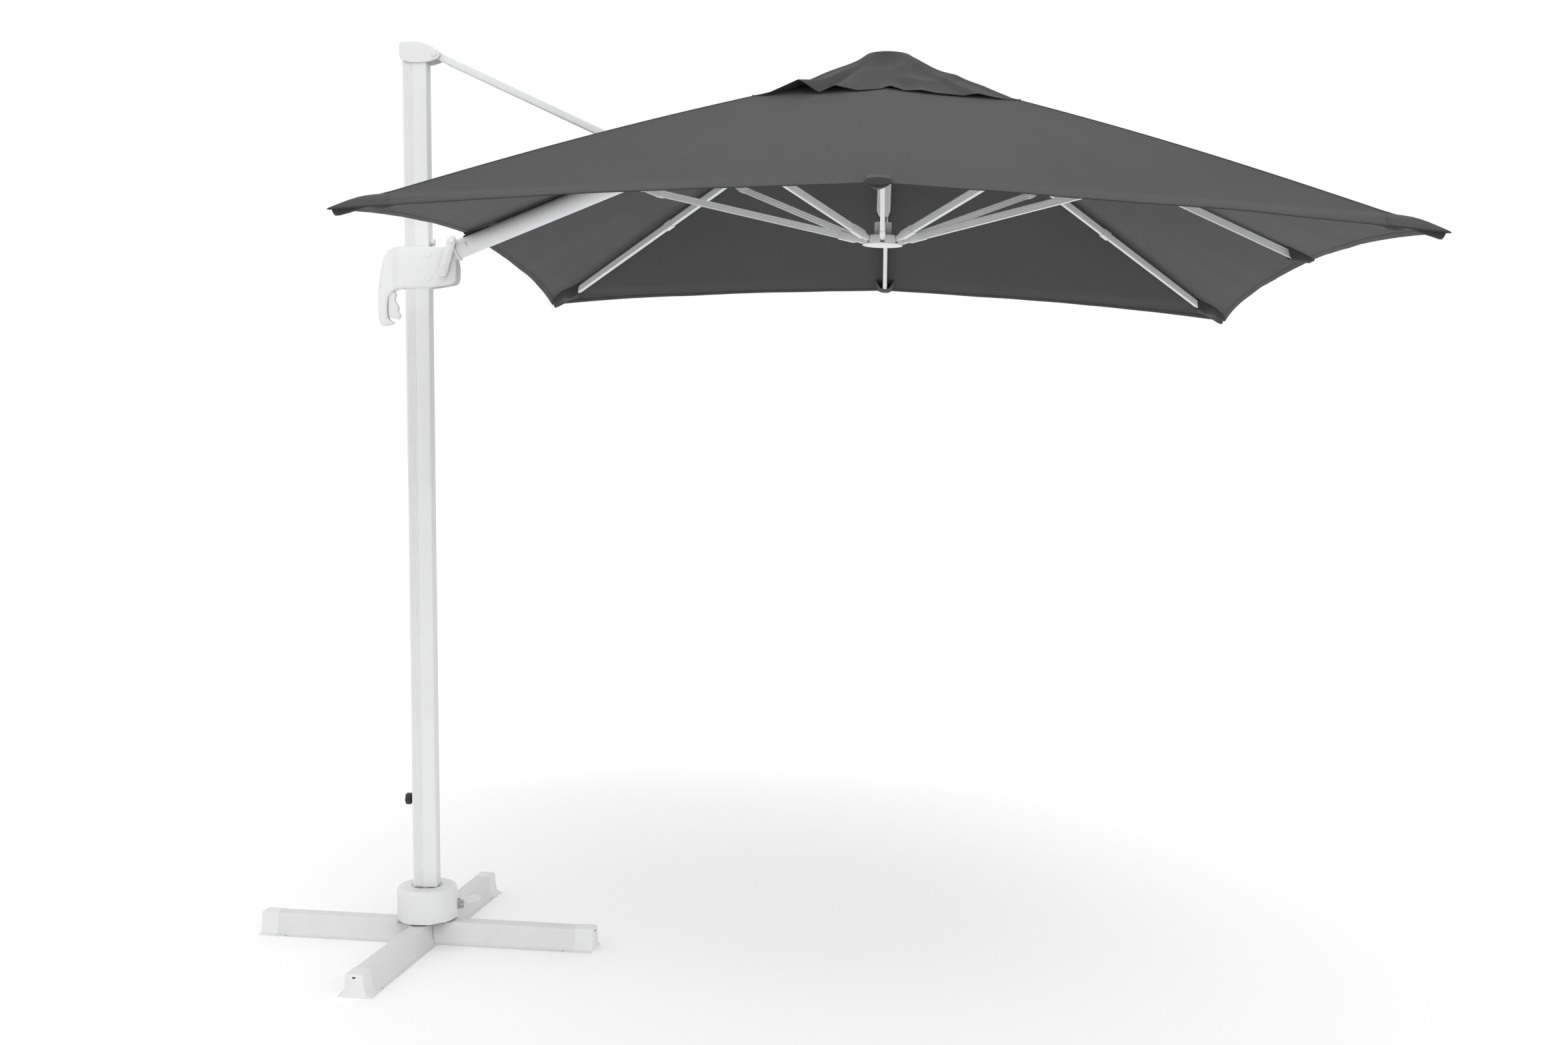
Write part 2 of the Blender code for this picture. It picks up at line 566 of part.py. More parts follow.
# the corner struts turn on pins; the middle ones float in their slots, because
# a constant ratio keeps them exact only when open and when shut
SLOT_IN = {0: 0.022, 90: 0.022, 180: 0.008, 270: 0.022}
lower = solid("lower_hub", prism(circle(0.060, 40), "z", V_Z - 0.013, V_Z + 0.013), PLASTIC)
join(lower, [T(prism(circle(0.0265, 32), "z", V_Z + 0.012, -0.4430))])
cut(lower, [T(prism(circle(0.0235, 32), "z", V_Z + 0.016, -0.4))])
tools = []
for az in range(0, 360, 45):
    t = T(prism(slot_outline(SLOT_IN.get(az, 0.0390), 0.09, -0.0064, 0.0064), "z", V_Z - 0.0095, V_Z + 0.09))
    tools.append(place(t, Matrix.Rotation(D(az), 4, "Z")))
cut(lower, tools)
join(lower, [place(T(prism(circle(0.0028, 16, (V_R, V_Z)), "y", -0.0085, 0.0085)), Matrix.Rotation(D(az), 4, "Z"))
             for az in range(45, 360, 90)])
place(lower, FH)

# ---- ribs and struts -----------------------------------------------------


def rib(name):
    corner = RIBS[name][1]
    g = G_CORNER if corner else G_MID
    reach = ((CORNER_R if corner else MID_R) - U_R) / math.cos(g) - 0.010
    k = K_CORNER if corner else K_MID
    lo, hi = RIB_OFF - RIB_D / 2, RIB_OFF + RIB_D / 2
    w = RIB_W / 2
    o = solid("rib_" + name, prism(rect(w, RIB_D / 2, (0, RIB_OFF)), "x", 0.024, reach,
                                   rect(w - 0.0010, RIB_D / 2 - 0.0010, (0, RIB_OFF))), PAINT)
    eye = [(0.0075 * math.cos(D(a)), 0.0075 * math.sin(D(a))) for a in range(90, 281, 19)] + [
        (0.0300, lo - 0.0020), (0.0600, lo + 0.0004), (0.0600, hi - 0.0004), (0.0245, hi - 0.0004), (0.0070, 0.0085)]
    eye = T(prism(eye, "y", -0.0054, 0.0054))
    cut(eye, [T(prism(circle(0.0031, 16), "y", -0.02, 0.02))])
    join(o, [eye])
    for s in (-1, 1):
        y0, y1 = sorted((s * (w - 0.0002), s * 0.0088))
        join(o, [T(prism([
            (k - 0.026, hi - 0.001), (k - 0.026, lo), (k - 0.008, -0.0035), (k, -0.0065), (k + 0.008, -0.0035),
            (k + 0.026, lo), (k + 0.026, hi - 0.001)], "y", y0, y1))])
    join(o, [T(prism(circle(0.0028, 16, (k, 0)), "y", -0.0080, 0.0080))])
    return place(o, rib_frame(name))


def strut(name):
    corner = name != "left" and RIBS[name][1]
    reach = STRUT_LEFT if name == "left" else STRUT_CORNER if corner else STRUT_MID
    w, d, t = 0.0056, 0.0100, 0.0013
    u = [(-w, -d), (w, -d), (w, d), (w - t, d), (w - t, -d + t), (-w + t, -d + t), (-w + t, d), (-w, d)]
    o = solid("strut_" + name, prism(u, "x", 0.040, reach - 0.040), PAINT)
    for e in (0.0, reach):
        s = 1 if e == 0 else -1
        a0 = 90 if e == 0 else -90
        lug = [(e + 0.0046 * math.cos(D(a0 + a)), 0.0046 * math.sin(D(a0 + a))) for a in range(0, 181, 18)]
        if e == 0:
            lug += [(e + 0.012, -0.0062), (e + 0.040, -0.0098), (e + 0.065, -0.0098), (e + 0.065, 0.0098),
                    (e + 0.040, 0.0098), (e + 0.012, 0.0062)]
        else:
            lug += [(e - 0.012, 0.0062), (e - 0.040, 0.0098), (e - 0.065, 0.0098), (e - 0.065, -0.0098),
                    (e - 0.040, -0.0098), (e - 0.012, -0.0062)]
        lug = T(prism(lug, "y", -0.0052, 0.0052))
        cut(lug, [T(prism(circle(0.0031, 16, (e, 0)), "y", -0.02, 0.02))])
        join(o, [lug])
    return place(o, strut_frame(name))


for _n in RIBS:
    rib(_n)
    strut(_n)
strut("left")

# ---- fabric --------------------------------------------------------------

CLOTH = 0.0008
AZ = list(range(0, 360, 45))


def ridge(az, f):
    """Point on the fabric over a rib, f from the vent opening to the tip."""
    er = Vector((math.cos(D(az)), math.sin(D(az)), 0))
    if az == 180:
        r0, r1, z1 = VENT_HALF, -LEFT_MID[0], LEFT_MID[1]
        slope = math.tan(BOOM + CANOPY_PITCH)
        top = BOOM_R / math.cos(BOOM + CANOPY_PITCH) + 0.0065
        z0 = C_LOCAL.z - (r0 + C_LOCAL.x) * slope + top
    else:
        corner = az % 90 == 45
        g = G_CORNER if corner else G_MID
        r0 = VENT_HALF * (math.sqrt(2) if corner else 1)
        r1, z1 = (CORNER_R, CORNER_Z) if corner else (MID_R, MID_Z)
        z0 = U_Z + (RIB_OFF + RIB_D / 2) / math.cos(g) + 0.0030 - (r0 - U_R) * math.tan(g)
    r, z = r0 + f * (r1 - r0), z0 + f * (z1 - z0)
    return r * er + z * EZ


def petal(name, az, m=8, n=3):
    rows = []
    for side in (-1, 1):
        other = (az + side * 45) % 360
        for j in range(n + 1) if side > 0 else range(n, 0, -1):
            v = 0.4994 * j / n
            rows.append([ridge(az, i / m).lerp(ridge(other, i / m), v) for i in range(m + 1)])
    bm = bmesh.new()
    lo = [[bm.verts.new(p) for p in r] for r in rows]
    hi = [[bm.verts.new(p + CLOTH * EZ) for p in r] for r in rows]
    nr, nc = len(rows), m + 1
    for i in range(nr - 1):
        for j in range(nc - 1):
            bm.faces.new((lo[i][j], lo[i][j + 1], lo[i + 1][j + 1], lo[i + 1][j]))
            bm.faces.new((hi[i][j], hi[i + 1][j], hi[i + 1][j + 1], hi[i][j + 1]))
    for i in range(nr - 1):
        for j in (0, nc - 1):
            bm.faces.new((lo[i][j], lo[i + 1][j], hi[i + 1][j], hi[i][j]))
    for j in range(nc - 1):
        for i in (0, nr - 1):
            bm.faces.new((lo[i][j], lo[i][j + 1], hi[i][j + 1], hi[i][j]))
    return solid(name, bm, FABRIC, FH)


for _n, (_az, _) in RIBS.items():
    petal("canopy_" + _n, _az)
left = petal("canopy_left", 180)
# the slit that the tie strut passes through
slit = T(prism(slot_outline(Q.x - 0.085, Q.x + 0.045, -0.027, 0.027), "z", 2.2, 2.6))
cut(left, [slit])


def cap_rings():
    flat = [Vector((0.069 * math.cos(D(a)), 0.069 * math.sin(D(a)), CROWN_Z)) for a in AZ]
    edge = []
    for a in AZ:
        corner = a % 90 == 45
        r = CAP_HALF * (math.sqrt(2) if corner else 1)
        edge.append(Vector((r * math.cos(D(a)), r * math.sin(D(a)), CAP_CORNER_Z if corner else CAP_MID_Z)))
    skirt = [p * 1.0 - (0.022 if i % 2 else 0.014) * EZ for i, p in enumerate(edge)]
    return flat, edge, skirt


def vent_cap():
    flat, edge, skirt = cap_rings()
    mid = [a.lerp(b, 0.5) for a, b in zip(flat, edge)]
    bm = bmesh.new()
    top = [[bm.verts.new(p) for p in r] for r in (flat, mid, edge, skirt)]

    def inner(p, down):
        r = Vector((p.x, p.y, 0))
        return p - 0.0012 * r.normalized() - (0.0 if down else CLOTH) * EZ

    low = [[bm.verts.new(inner(p, k == 3)) for p in r] for k, r in enumerate((flat, mid, edge, skirt))]
    for rs in (top, low):
        for a, b in zip(rs, rs[1:]):
            for i in range(8):
                bm.faces.new((a[i], a[(i + 1) % 8], b[(i + 1) % 8], b[i]))
        bm.faces.new(rs[0])
    for i in range(8):
        bm.faces.new((top[3][i], top[3][(i + 1) % 8], low[3][(i + 1) % 8], low[3][i]))
    return solid("vent_cap", bm, FABRIC, FH)


vent_cap()
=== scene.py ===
"""Looks of the cantilever parasol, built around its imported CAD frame.

Metres, +Z up, +X along the boom, -Y the front. Constants repeated from the
part's source say so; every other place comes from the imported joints.
"""

import json
import math

import bmesh
import bpy
from mathutils import Matrix, Vector, geometry, noise

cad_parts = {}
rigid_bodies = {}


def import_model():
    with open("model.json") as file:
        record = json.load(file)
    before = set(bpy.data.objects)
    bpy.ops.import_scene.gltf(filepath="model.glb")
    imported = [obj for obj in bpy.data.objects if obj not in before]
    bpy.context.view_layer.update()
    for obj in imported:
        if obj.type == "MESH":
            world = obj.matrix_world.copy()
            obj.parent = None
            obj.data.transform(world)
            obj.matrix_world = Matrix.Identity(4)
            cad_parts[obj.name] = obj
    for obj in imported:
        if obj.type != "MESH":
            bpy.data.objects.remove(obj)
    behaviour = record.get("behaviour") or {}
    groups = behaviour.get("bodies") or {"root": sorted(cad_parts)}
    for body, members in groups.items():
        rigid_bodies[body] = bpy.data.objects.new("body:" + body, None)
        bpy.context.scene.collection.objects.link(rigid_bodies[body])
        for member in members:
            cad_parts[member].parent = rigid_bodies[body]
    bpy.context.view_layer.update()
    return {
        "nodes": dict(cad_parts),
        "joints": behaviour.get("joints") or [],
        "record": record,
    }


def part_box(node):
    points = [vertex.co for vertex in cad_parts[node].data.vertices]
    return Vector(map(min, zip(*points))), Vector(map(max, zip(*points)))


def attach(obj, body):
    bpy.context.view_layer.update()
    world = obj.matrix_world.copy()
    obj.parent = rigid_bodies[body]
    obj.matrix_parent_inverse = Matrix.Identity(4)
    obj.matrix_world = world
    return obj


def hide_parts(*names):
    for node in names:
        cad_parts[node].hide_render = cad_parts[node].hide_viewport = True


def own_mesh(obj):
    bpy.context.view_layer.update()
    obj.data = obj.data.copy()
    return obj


for _o in list(bpy.data.objects):
    bpy.data.objects.remove(_o, do_unlink=True)

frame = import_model()
NODES = frame["nodes"]
JOINTS = {j["name"]: j for j in frame["joints"]}
D = math.radians
EY, EZ = Vector((0, 1, 0)), Vector((0, 0, 1))


def pos(joint):
    return Vector(JOINTS[joint]["pos_m"])


def axis(joint):
    return Vector(JOINTS[joint]["axis"]).normalized()


def axes(x, y, z, at):
    m = Matrix.Identity(4)
    for i, v in enumerate((x, y, z, at)):
        for j in range(3):
            m[j][i] = v[j]
    return m


# ---- sizes repeated from the part's source --------------------------------
U_R, U_Z = 0.052, -0.022  # rib pins on the crown hub
CORNER_R, CORNER_Z = 1.25 * math.sqrt(2), -0.606
MID_R, MID_Z = 1.2656, -0.524
LEFT_MID = (-1.2675, -0.4987)
VENT_HALF, CAP_HALF = 0.20, 0.37
DISC_R, DISC_TOP = 0.067, 0.047
BOOM_H, BOOM_R, BOOM_C = 0.0082, 0.029, 1.4037
BOOM, CANOPY_PITCH, CANOPY_ROLL = D(21.5), D(1.65), D(-1.05)
C_LOCAL = Vector((-0.0593, 0, -0.0253))
RIB_OFF, RIB_D, RIB_W = 0.016, 0.022, 0.014
MAST_X, MAST_Y = 0.0375, 0.025
BASE_YAW, ARM_L = D(-6.5), 0.53
AX = 0.0001  # radius where a turned profile starts and ends

AROUND = ["right", "far_right", "far", "far_left", "left", "near_left", "near", "near_right"]
AZ = {n: 45 * i for i, n in enumerate(AROUND)}
RIBS = [n for n in AROUND if n != "left"]

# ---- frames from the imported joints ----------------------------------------
_mid = (pos("rib_near_fold") + pos("rib_far_fold")) / 2
_hx = (pos("rib_right_fold") - _mid).normalized()
_hy = (pos("rib_far_fold") - _mid).normalized()
_hz = _hx.cross(_hy)
FH = axes(_hx, _hy, _hz, _mid - U_Z * _hz)
S, C, BOOM_DIR = pos("boom_to_slider"), pos("boom_tilt"), axis("boom_tilt")
BOOM_UP = Vector((-BOOM_DIR.z, 0, BOOM_DIR.x))
FB = axes(BOOM_DIR, EY, BOOM_UP, S)
FT = Matrix.Translation(C) @ Matrix.Rotation(CANOPY_ROLL, 4, BOOM_DIR) @ Matrix.Translation(-C) @ FB
FBASE = Matrix.Rotation(BASE_YAW, 4, "Z")
_v = FH.inverted() @ pos("lower_hub_slide")
V_R, V_Z = math.hypot(_v.x, _v.y), _v.z


def radial(az):
    return Vector((math.cos(D(az)), math.sin(D(az)), 0))


def tangent(az):
    return Vector((-math.sin(D(az)), math.cos(D(az)), 0))


def hub_dir(v):
    return (FH.to_3x3() @ v).normalized()


def rib_frame(name):
    """Origin at the rib's pin on the hub, +X along the rib, +Z out of the canopy."""
    u, k = pos(f"rib_{name}_fold"), pos(f"strut_{name}_fold")
    x, y = (k - u).normalized(), hub_dir(tangent(AZ[name]))
    return axes(x, y, x.cross(y), u)


def strut_frame(name):
    """Origin at the rib's knuckle, +X toward the lower hub. Also its length."""
    k = pos(f"strut_{name}_fold")
    v = FH @ (V_R * radial(AZ[name]) + V_Z * EZ)
    x, y = (v - k).normalized(), hub_dir(tangent(AZ[name]))
    return axes(x, y, x.cross(y), k), (v - k).length


# ---- materials -------------------------------------------------------------


def node(tree, kind, ins=None, **props):
    n = tree.nodes.new("ShaderNode" + kind)
    for k, v in props.items():
        setattr(n, k, v)
    for k, v in (ins or {}).items():
        if isinstance(v, bpy.types.NodeSocket):
            tree.links.new(v, n.inputs[k])
        else:
            n.inputs[k].default_value = v
    return n


def shader(name):
    m = bpy.data.materials.new(name)
    m.use_nodes = True
    return m, m.node_tree, m.node_tree.nodes["Principled BSDF"]


def tint(tree, fac, dark, light, lo=0.3, hi=0.7):
    r = node(tree, "ValToRGB", {"Fac": fac})
    r.color_ramp.elements[0].position, r.color_ramp.elements[1].position = lo, hi
    r.color_ramp.elements[0].color = (*dark, 1)
    r.color_ramp.elements[1].color = (*light, 1)
    return r.outputs["Color"]


def speckle(tree, where, scale, detail):
    return node(tree, "TexNoise", {"Vector": where, "Scale": scale, "Detail": detail}).outputs["Fac"]


def calc(tree, operation, a, b=0.5):
    return node(tree, "Math", {0: a, 1: b}, operation=operation).outputs[0]


def spread_rough(tree, fac, lo, hi):
    return node(tree, "MapRange", {"Value": fac, "To Min": lo, "To Max": hi}).outputs["Result"]


def grey(v, blue=0.0):
    return (v, v * (1 + blue * 0.4), v * (1 + blue))


def coated(name, level, rough, peel, blue=0.01, bump=0.05, mottle=0.02):
    """Painted metal or moulded plastic: faint mottle, orange peel, uneven gloss."""
    m, t, b = shader(name)
    co = node(t, "TexCoord").outputs["Object"]
    broad = speckle(t, co, 9.0, 4.0)
    fine = speckle(t, co, peel, 2.0)
    col = tint(t, broad, grey(level * (1 - mottle), blue), grey(level * (1 + mottle), blue))
    t.links.new(col, b.inputs["Base Color"])
    t.links.new(spread_rough(t, broad, rough - 0.05, rough + 0.06), b.inputs["Roughness"])
    bm = node(t, "Bump", {"Height": fine, "Strength": bump, "Distance": 0.0004})
    t.links.new(bm.outputs["Normal"], b.inputs["Normal"])
    b.inputs["Specular IOR Level"].default_value = 0.4
    return m


def cloth_material(name, level, blue=0.02):
    """Woven polyester: two crossed threads, slubs, soft sheen, a stitched row."""
    m, t, b = shader(name)
    uv = node(t, "UVMap", uv_map="UVMap").outputs["UV"]
    co = node(t, "TexCoord").outputs["Object"]
    warp, weft = (node(t, "TexWave", {"Vector": uv, "Scale": 250.0, "Distortion": 0.6, "Detail": 1.0},
                       bands_direction=d).outputs["Fac"] for d in "XY")
    weave = calc(t, "MULTIPLY", warp, weft)
    run = node(t, "Mapping", {"Vector": uv, "Scale": (14.0, 420.0, 1.0)}).outputs["Vector"]
    slub = speckle(t, run, 1.0, 3.0)
    broad = speckle(t, co, 2.6, 5.0)
    mixed = calc(t, "ADD", slub, broad)
    mixed = calc(t, "MULTIPLY", mixed, 0.5)
    col = tint(t, mixed, grey(level * 0.90, blue), grey(level * 1.10, blue), 0.35, 0.65)
    # a stitched row 15 mm in from the edge, which the UV's V measures
    sep = node(t, "SeparateXYZ", {"Vector": uv})
    off = calc(t, "SUBTRACT", sep.outputs["Y"], 0.015)
    off = calc(t, "ABSOLUTE", off)
    line = calc(t, "LESS_THAN", off, 0.0010)
    step = calc(t, "MODULO", sep.outputs["X"], 0.0042)
    step = calc(t, "ABSOLUTE", step)
    dash = calc(t, "LESS_THAN", step, 0.0030)
    stitch = calc(t, "MULTIPLY", line, dash)
    mix = node(t, "Mix", {"Factor": stitch, 6: col, 7: (*grey(level * 0.40), 1)}, data_type="RGBA")
    t.links.new(mix.outputs[2], b.inputs["Base Color"])
    t.links.new(spread_rough(t, slub, 0.78, 0.94), b.inputs["Roughness"])
    high = calc(t, "ADD", weave, stitch)
    bm = node(t, "Bump", {"Height": high, "Strength": 0.25, "Distance": 0.0005})
    t.links.new(bm.outputs["Normal"], b.inputs["Normal"])
    b.inputs["Sheen Weight"].default_value = 0.12
    b.inputs["Sheen Roughness"].default_value = 0.5
    b.inputs["Specular IOR Level"].default_value = 0.25
    return m


def zinc_material():
    m, t, b = shader("zinc_plating")
    co = node(t, "TexCoord").outputs["Object"]
    cells = node(t, "TexVoronoi", {"Vector": co, "Scale": 130.0}).outputs["Distance"]
    fine = speckle(t, co, 60.0, 6.0)
    t.links.new(tint(t, fine, (0.30, 0.295, 0.28), (0.52, 0.51, 0.49)), b.inputs["Base Color"])
    t.links.new(spread_rough(t, cells, 0.32, 0.5), b.inputs["Roughness"])
    b.inputs["Metallic"].default_value = 0.85
    return m


PAINT = coated("white_powder_coat", 0.71, 0.42, 900.0, 0.012, 0.10)
STEEL = coated("base_powder_coat", 0.65, 0.48, 700.0, 0.004, 0.16, 0.025)
PLASTIC = coated("white_moulded_plastic", 0.70, 0.38, 1400.0, 0.010, 0.05, 0.012)
BLACK = coated("black_moulded_plastic", 0.016, 0.45, 1100.0, 0.02, 0.08, 0.2)
CLOTH = cloth_material("grey_woven_polyester", 0.034)
# the pockets' cloth, a darker copy of the canopy's: painted shade for the down-facing mid pockets
SHADED_SLEEVE = cloth_material("grey_woven_sleeve_painted_shade", 0.030)
# the vent cap's cloth, a darker copy of the canopy's: painted shade for the cap's shadowed surface
CAP_CLOTH_SHADE = cloth_material("grey_woven_vent_painted_shade", 0.0235)
TRIM = cloth_material("dark_woven_trim", 0.020)
ZINC = zinc_material()
FINISH = {"fabric": CLOTH, "steel_paint": STEEL, "frame": PAINT, "zinc": ZINC,
          "white_plastic": PLASTIC, "black_plastic": BLACK}
SLOT_OF = {m.name: s for s, m in FINISH.items()}  # the other cloths are fabric too

# ---- meshes ----------------------------------------------------------------


def turn_out(o):
    """Makes a closed mesh's faces point outward."""
    bm = bmesh.new()
    bm.from_mesh(o.data)
    bmesh.ops.recalc_face_normals(bm, faces=bm.faces)
    bm.to_mesh(o.data)
    bm.free()
    return o


def piece(name, verts, faces, material, body, sharp=35, uvs=None, replaces=()):
    """A mesh in the row frame that rides on a body. uvs holds one pair per vertex."""
    mesh = bpy.data.meshes.new(name)
    mesh.from_pydata([tuple(v) for v in verts], [], faces)
    if uvs:
        layer = mesh.uv_layers.new(name="UVMap")
        for loop in mesh.loops:
            layer.data[loop.index].uv = uvs[loop.vertex_index]
    mesh.validate()
    mesh.shade_smooth()
    if sharp:
        mesh.set_sharp_from_angle(angle=D(sharp))
    mesh.materials.append(material)
    o = bpy.data.objects.new(name, mesh)
    bpy.context.scene.collection.objects.link(o)
    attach(o, body)
    SLOT_OF.get(material.name, "fabric")
    if replaces:
        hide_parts(*replaces)
    return turn_out(o)


class Build:
    """Vertices and faces gathered from several closed forms."""

    def __init__(self, at=None):
        self.verts, self.faces, self.at = [], [], at or Matrix.Identity(4)

    def add(self, verts, faces):
        n = len(self.verts)
        self.verts += [self.at @ Vector(v) for v in verts]
        self.faces += [tuple(i + n for i in f) for f in faces]
        return self

    def loft(self, rings, closed=True):
        n = len(rings[0])
        faces = [(k * n + i, k * n + (i + 1) % n, (k + 1) * n + (i + 1) % n, (k + 1) * n + i)
                 for k in range(len(rings) - 1) for i in range(n)]
        if closed:
            last = (len(rings) - 1) * n
            faces += [tuple(range(n))[::-1], tuple(range(last, last + n))]
        return self.add([p for r in rings for p in r], faces)

    def lathe(self, profile, n=48, z_axis=None):
        """profile holds (radius, height) from the bottom up, closed on the axis."""
        rings = [[(r * math.cos(2 * math.pi * i / n), r * math.sin(2 * math.pi * i / n), z) for i in range(n)]
                 for r, z in profile]
        if z_axis:
            rings = [[z_axis @ Vector(p) for p in r] for r in rings]
        return self.loft(rings)

    def piece(self, name, material, body, **kw):
        return piece(name, self.verts, self.faces, material, body, **kw)


def rounded(w, h, r, at=(0, 0), n=4):
    """Rounded rectangle of half-sizes w, h, counter-clockwise."""
    out = []
    for cx, cy, a0 in ((w - r, h - r, 0), (-w + r, h - r, 90), (-w + r, -h + r, 180), (w - r, -h + r, 270)):
        out += [(at[0] + cx + r * math.cos(D(a0 + 90 * i / n)), at[1] + cy + r * math.sin(D(a0 + 90 * i / n)))
                for i in range(n + 1)]
    return out


def arc(at, r, a0, a1, n=10):
    angles = [D(a0 + (a1 - a0) * i / n) for i in range(n + 1)]
    return [(at[0] + r * math.cos(a), at[1] + r * math.sin(a)) for a in angles]


def on_x(outline, x):
    return [(x, a, b) for a, b in outline]


def on_z(outline, z):
    return [(a, b, z) for a, b in outline]


def soft_bar(build, sections, n=4):
    """Loft along X through (x, half width, low, high, corner radius)."""
    return build.loft([on_x(rounded(w, (hi - lo) / 2, r, (0, (hi + lo) / 2), n), x) for x, w, lo, hi, r in sections])


def smooth_line(points, rounds=3):
    """Chaikin's corner cutting on a closed outline."""
    for _ in range(rounds):
        points = [q for a, b in zip(points, points[1:] + points[:1])
                  for q in ((0.75 * a[0] + 0.25 * b[0], 0.75 * a[1] + 0.25 * b[1]),
                            (0.25 * a[0] + 0.75 * b[0], 0.25 * a[1] + 0.75 * b[1]))]
    return points


def ease(v, lo, hi):
    t = min(1, max(0, (v - lo) / (hi - lo)))
    return t * t * (3 - 2 * t)


# ---- canopy ----------------------------------------------------------------


def slope_of(r, z):
    g = D(20)
    for _ in range(30):
        g = math.atan((U_Z + (RIB_OFF + RIB_D / 2) / math.cos(g) - z) / (r - U_R))
    return g


G_CORNER, G_MID = slope_of(CORNER_R, CORNER_Z - 0.003), slope_of(MID_R, MID_Z - 0.003)
BOOM_SLOPE = math.tan(BOOM + CANOPY_PITCH)
BOOM_TOP = BOOM_R / math.cos(BOOM + CANOPY_PITCH) + 0.0065  # cloth over the boom's pin line
BOW = {"corner": 0.016, "mid": 0.006, "left": 0.0}  # rise of the cloth midway along a rib
HEM_IN, PANEL_SAG = 0.026, 0.010  # the hem's inward curve and a panel's sag
CLOTH_T, HEM_T, HEM_WIDE = 0.0006, 0.0013, 0.019  # half thicknesses, and the hem's width


def kind(az):
    return "left" if az == 180 else "corner" if az % 90 == 45 else "mid"


def ridge(az, f):
    """The cloth's line over a rib, from the vent opening (0) to the tip (1)."""
    az %= 360
    if kind(az) == "left":
        r0, r1, z1 = VENT_HALF, -LEFT_MID[0], LEFT_MID[1]
        z0 = C_LOCAL.z - (r0 + C_LOCAL.x) * BOOM_SLOPE + BOOM_TOP
    else:
        corner = kind(az) == "corner"
        g = G_CORNER if corner else G_MID
        r0 = VENT_HALF * (math.sqrt(2) if corner else 1)
        r1, z1 = (CORNER_R, CORNER_Z) if corner else (MID_R, MID_Z)
        z0 = U_Z + (RIB_OFF + RIB_D / 2) / math.cos(g) + 0.003 - (r0 - U_R) * math.tan(g)
    r, z = r0 + f * (r1 - r0), z0 + f * (z1 - z0)
    if kind(az) == "corner":
        beak = max(0.0, (f - 0.955) / 0.045) ** 2
        # the rib's end lifts the cloth, which then drops to the tip
        lift = math.sin(math.pi * max(0.0, min(1.0, (f - 0.92) / 0.08)))
        r, z = r + 0.013 * beak, z + 0.008 * lift - 0.002 * beak
    return r * radial(az) + (z + BOW[kind(az)] * math.sin(math.pi * min(1, f))) * EZ


def run_of(az):
    """Length of the cloth over a rib, from the vent opening to the hem."""
    return (ridge(az, 1) - ridge(az, 0)).length


def cloth(az, side, t, u):
    """Point of the canopy t of the way from one rib to its neighbour (0 to 1)
    and u of the way from the vent opening to the hem."""
    other = az + 45 * side
    belly = 4 * t * (1 - t)
    f = u * (1 - belly * HEM_IN / SPAN_HEM)
    p = ridge(az, f).lerp(ridge(other, f), t)
    around = math.atan2(p.y, p.x)
    fold = noise.noise(Vector((8 * math.cos(around), 8 * math.sin(around), 0.9 * p.length)))
    fine = noise.noise(Vector((23 * math.cos(around), 23 * math.sin(around), 1.7 * p.length + 5)))
    p.z -= PANEL_SAG * belly * math.sin(math.pi * (0.12 + 0.76 * u))
    p.z += belly * u * (0.0030 * fold + 0.0010 * fine)
    return p


def strip_grid(point, ss, ts, thick, uv):
    """A closed thin shell over point(s, t). thick(s, t) is half its thickness."""
    rows = [[point(s, t) for t in ts] for s in ss]
    ns, nt = len(ss), len(ts)
    verts, uvs, normals = [], [], []
    for i in range(ns):
        for j in range(nt):
            a = rows[min(i + 1, ns - 1)][j] - rows[max(i - 1, 0)][j]
            b = rows[i][min(j + 1, nt - 1)] - rows[i][max(j - 1, 0)]
            n = a.cross(b)
            n = n.normalized() if n.length > 1e-12 else EZ.copy()
            normals.append(n if n.z >= 0 else -n)
    for sign in (1, -1):
        for i in range(ns):
            for j in range(nt):
                verts.append(FH @ (rows[i][j] + sign * thick(ss[i], ts[j]) * normals[i * nt + j]))
                uvs.append(uv(ss[i], ts[j]))
    m = ns * nt
    faces = []
    for i in range(ns - 1):
        for j in range(nt - 1):
            a, b, c, d = i * nt + j, (i + 1) * nt + j, (i + 1) * nt + j + 1, i * nt + j + 1
            faces += [(a, b, c, d), (m + a, m + d, m + c, m + b)]
    for i in range(ns - 1):
        for j, flip in ((0, False), (nt - 1, True)):
            f = (i * nt + j, m + i * nt + j, m + (i + 1) * nt + j, (i + 1) * nt + j)
            faces.append(f[::-1] if flip else f)
    for j in range(nt - 1):
        for i, flip in ((0, True), (ns - 1, False)):
            f = (i * nt + j, m + i * nt + j, m + i * nt + j + 1, i * nt + j + 1)
            faces.append(f[::-1] if flip else f)
    return verts, faces, uvs


def shell(name, material, body, grid, sharp=50, replaces=()):
    """A piece of cloth. grid holds what strip_grid takes."""
    verts, faces, uvs = strip_grid(*grid)
    return piece(name, verts, faces, material, body, sharp, uvs, replaces)


SPAN_HEM = 1.25  # along the hem, from a rib to its neighbour


def body_of(name):
    """The body that a sector rides on."""
    return "boom" if name == "left" else "rib_" + name


def fold_of(name):
    """The joint that folds a sector."""
    return "canopy_fold" if name == "left" else f"rib_{name}_fold"


def area_of(point, ss, ts):
    """Area of the surface point(s, t) over a grid."""
    total = 0.0
    for s0, s1 in zip(ss, ss[1:]):
        for t0, t1 in zip(ts, ts[1:]):
            a, b, c, d = point(s0, t0), point(s1, t0), point(s1, t1), point(s0, t1)
            total += ((b - a).cross(d - a).length + (b - c).cross(d - c).length) / 2
    return total


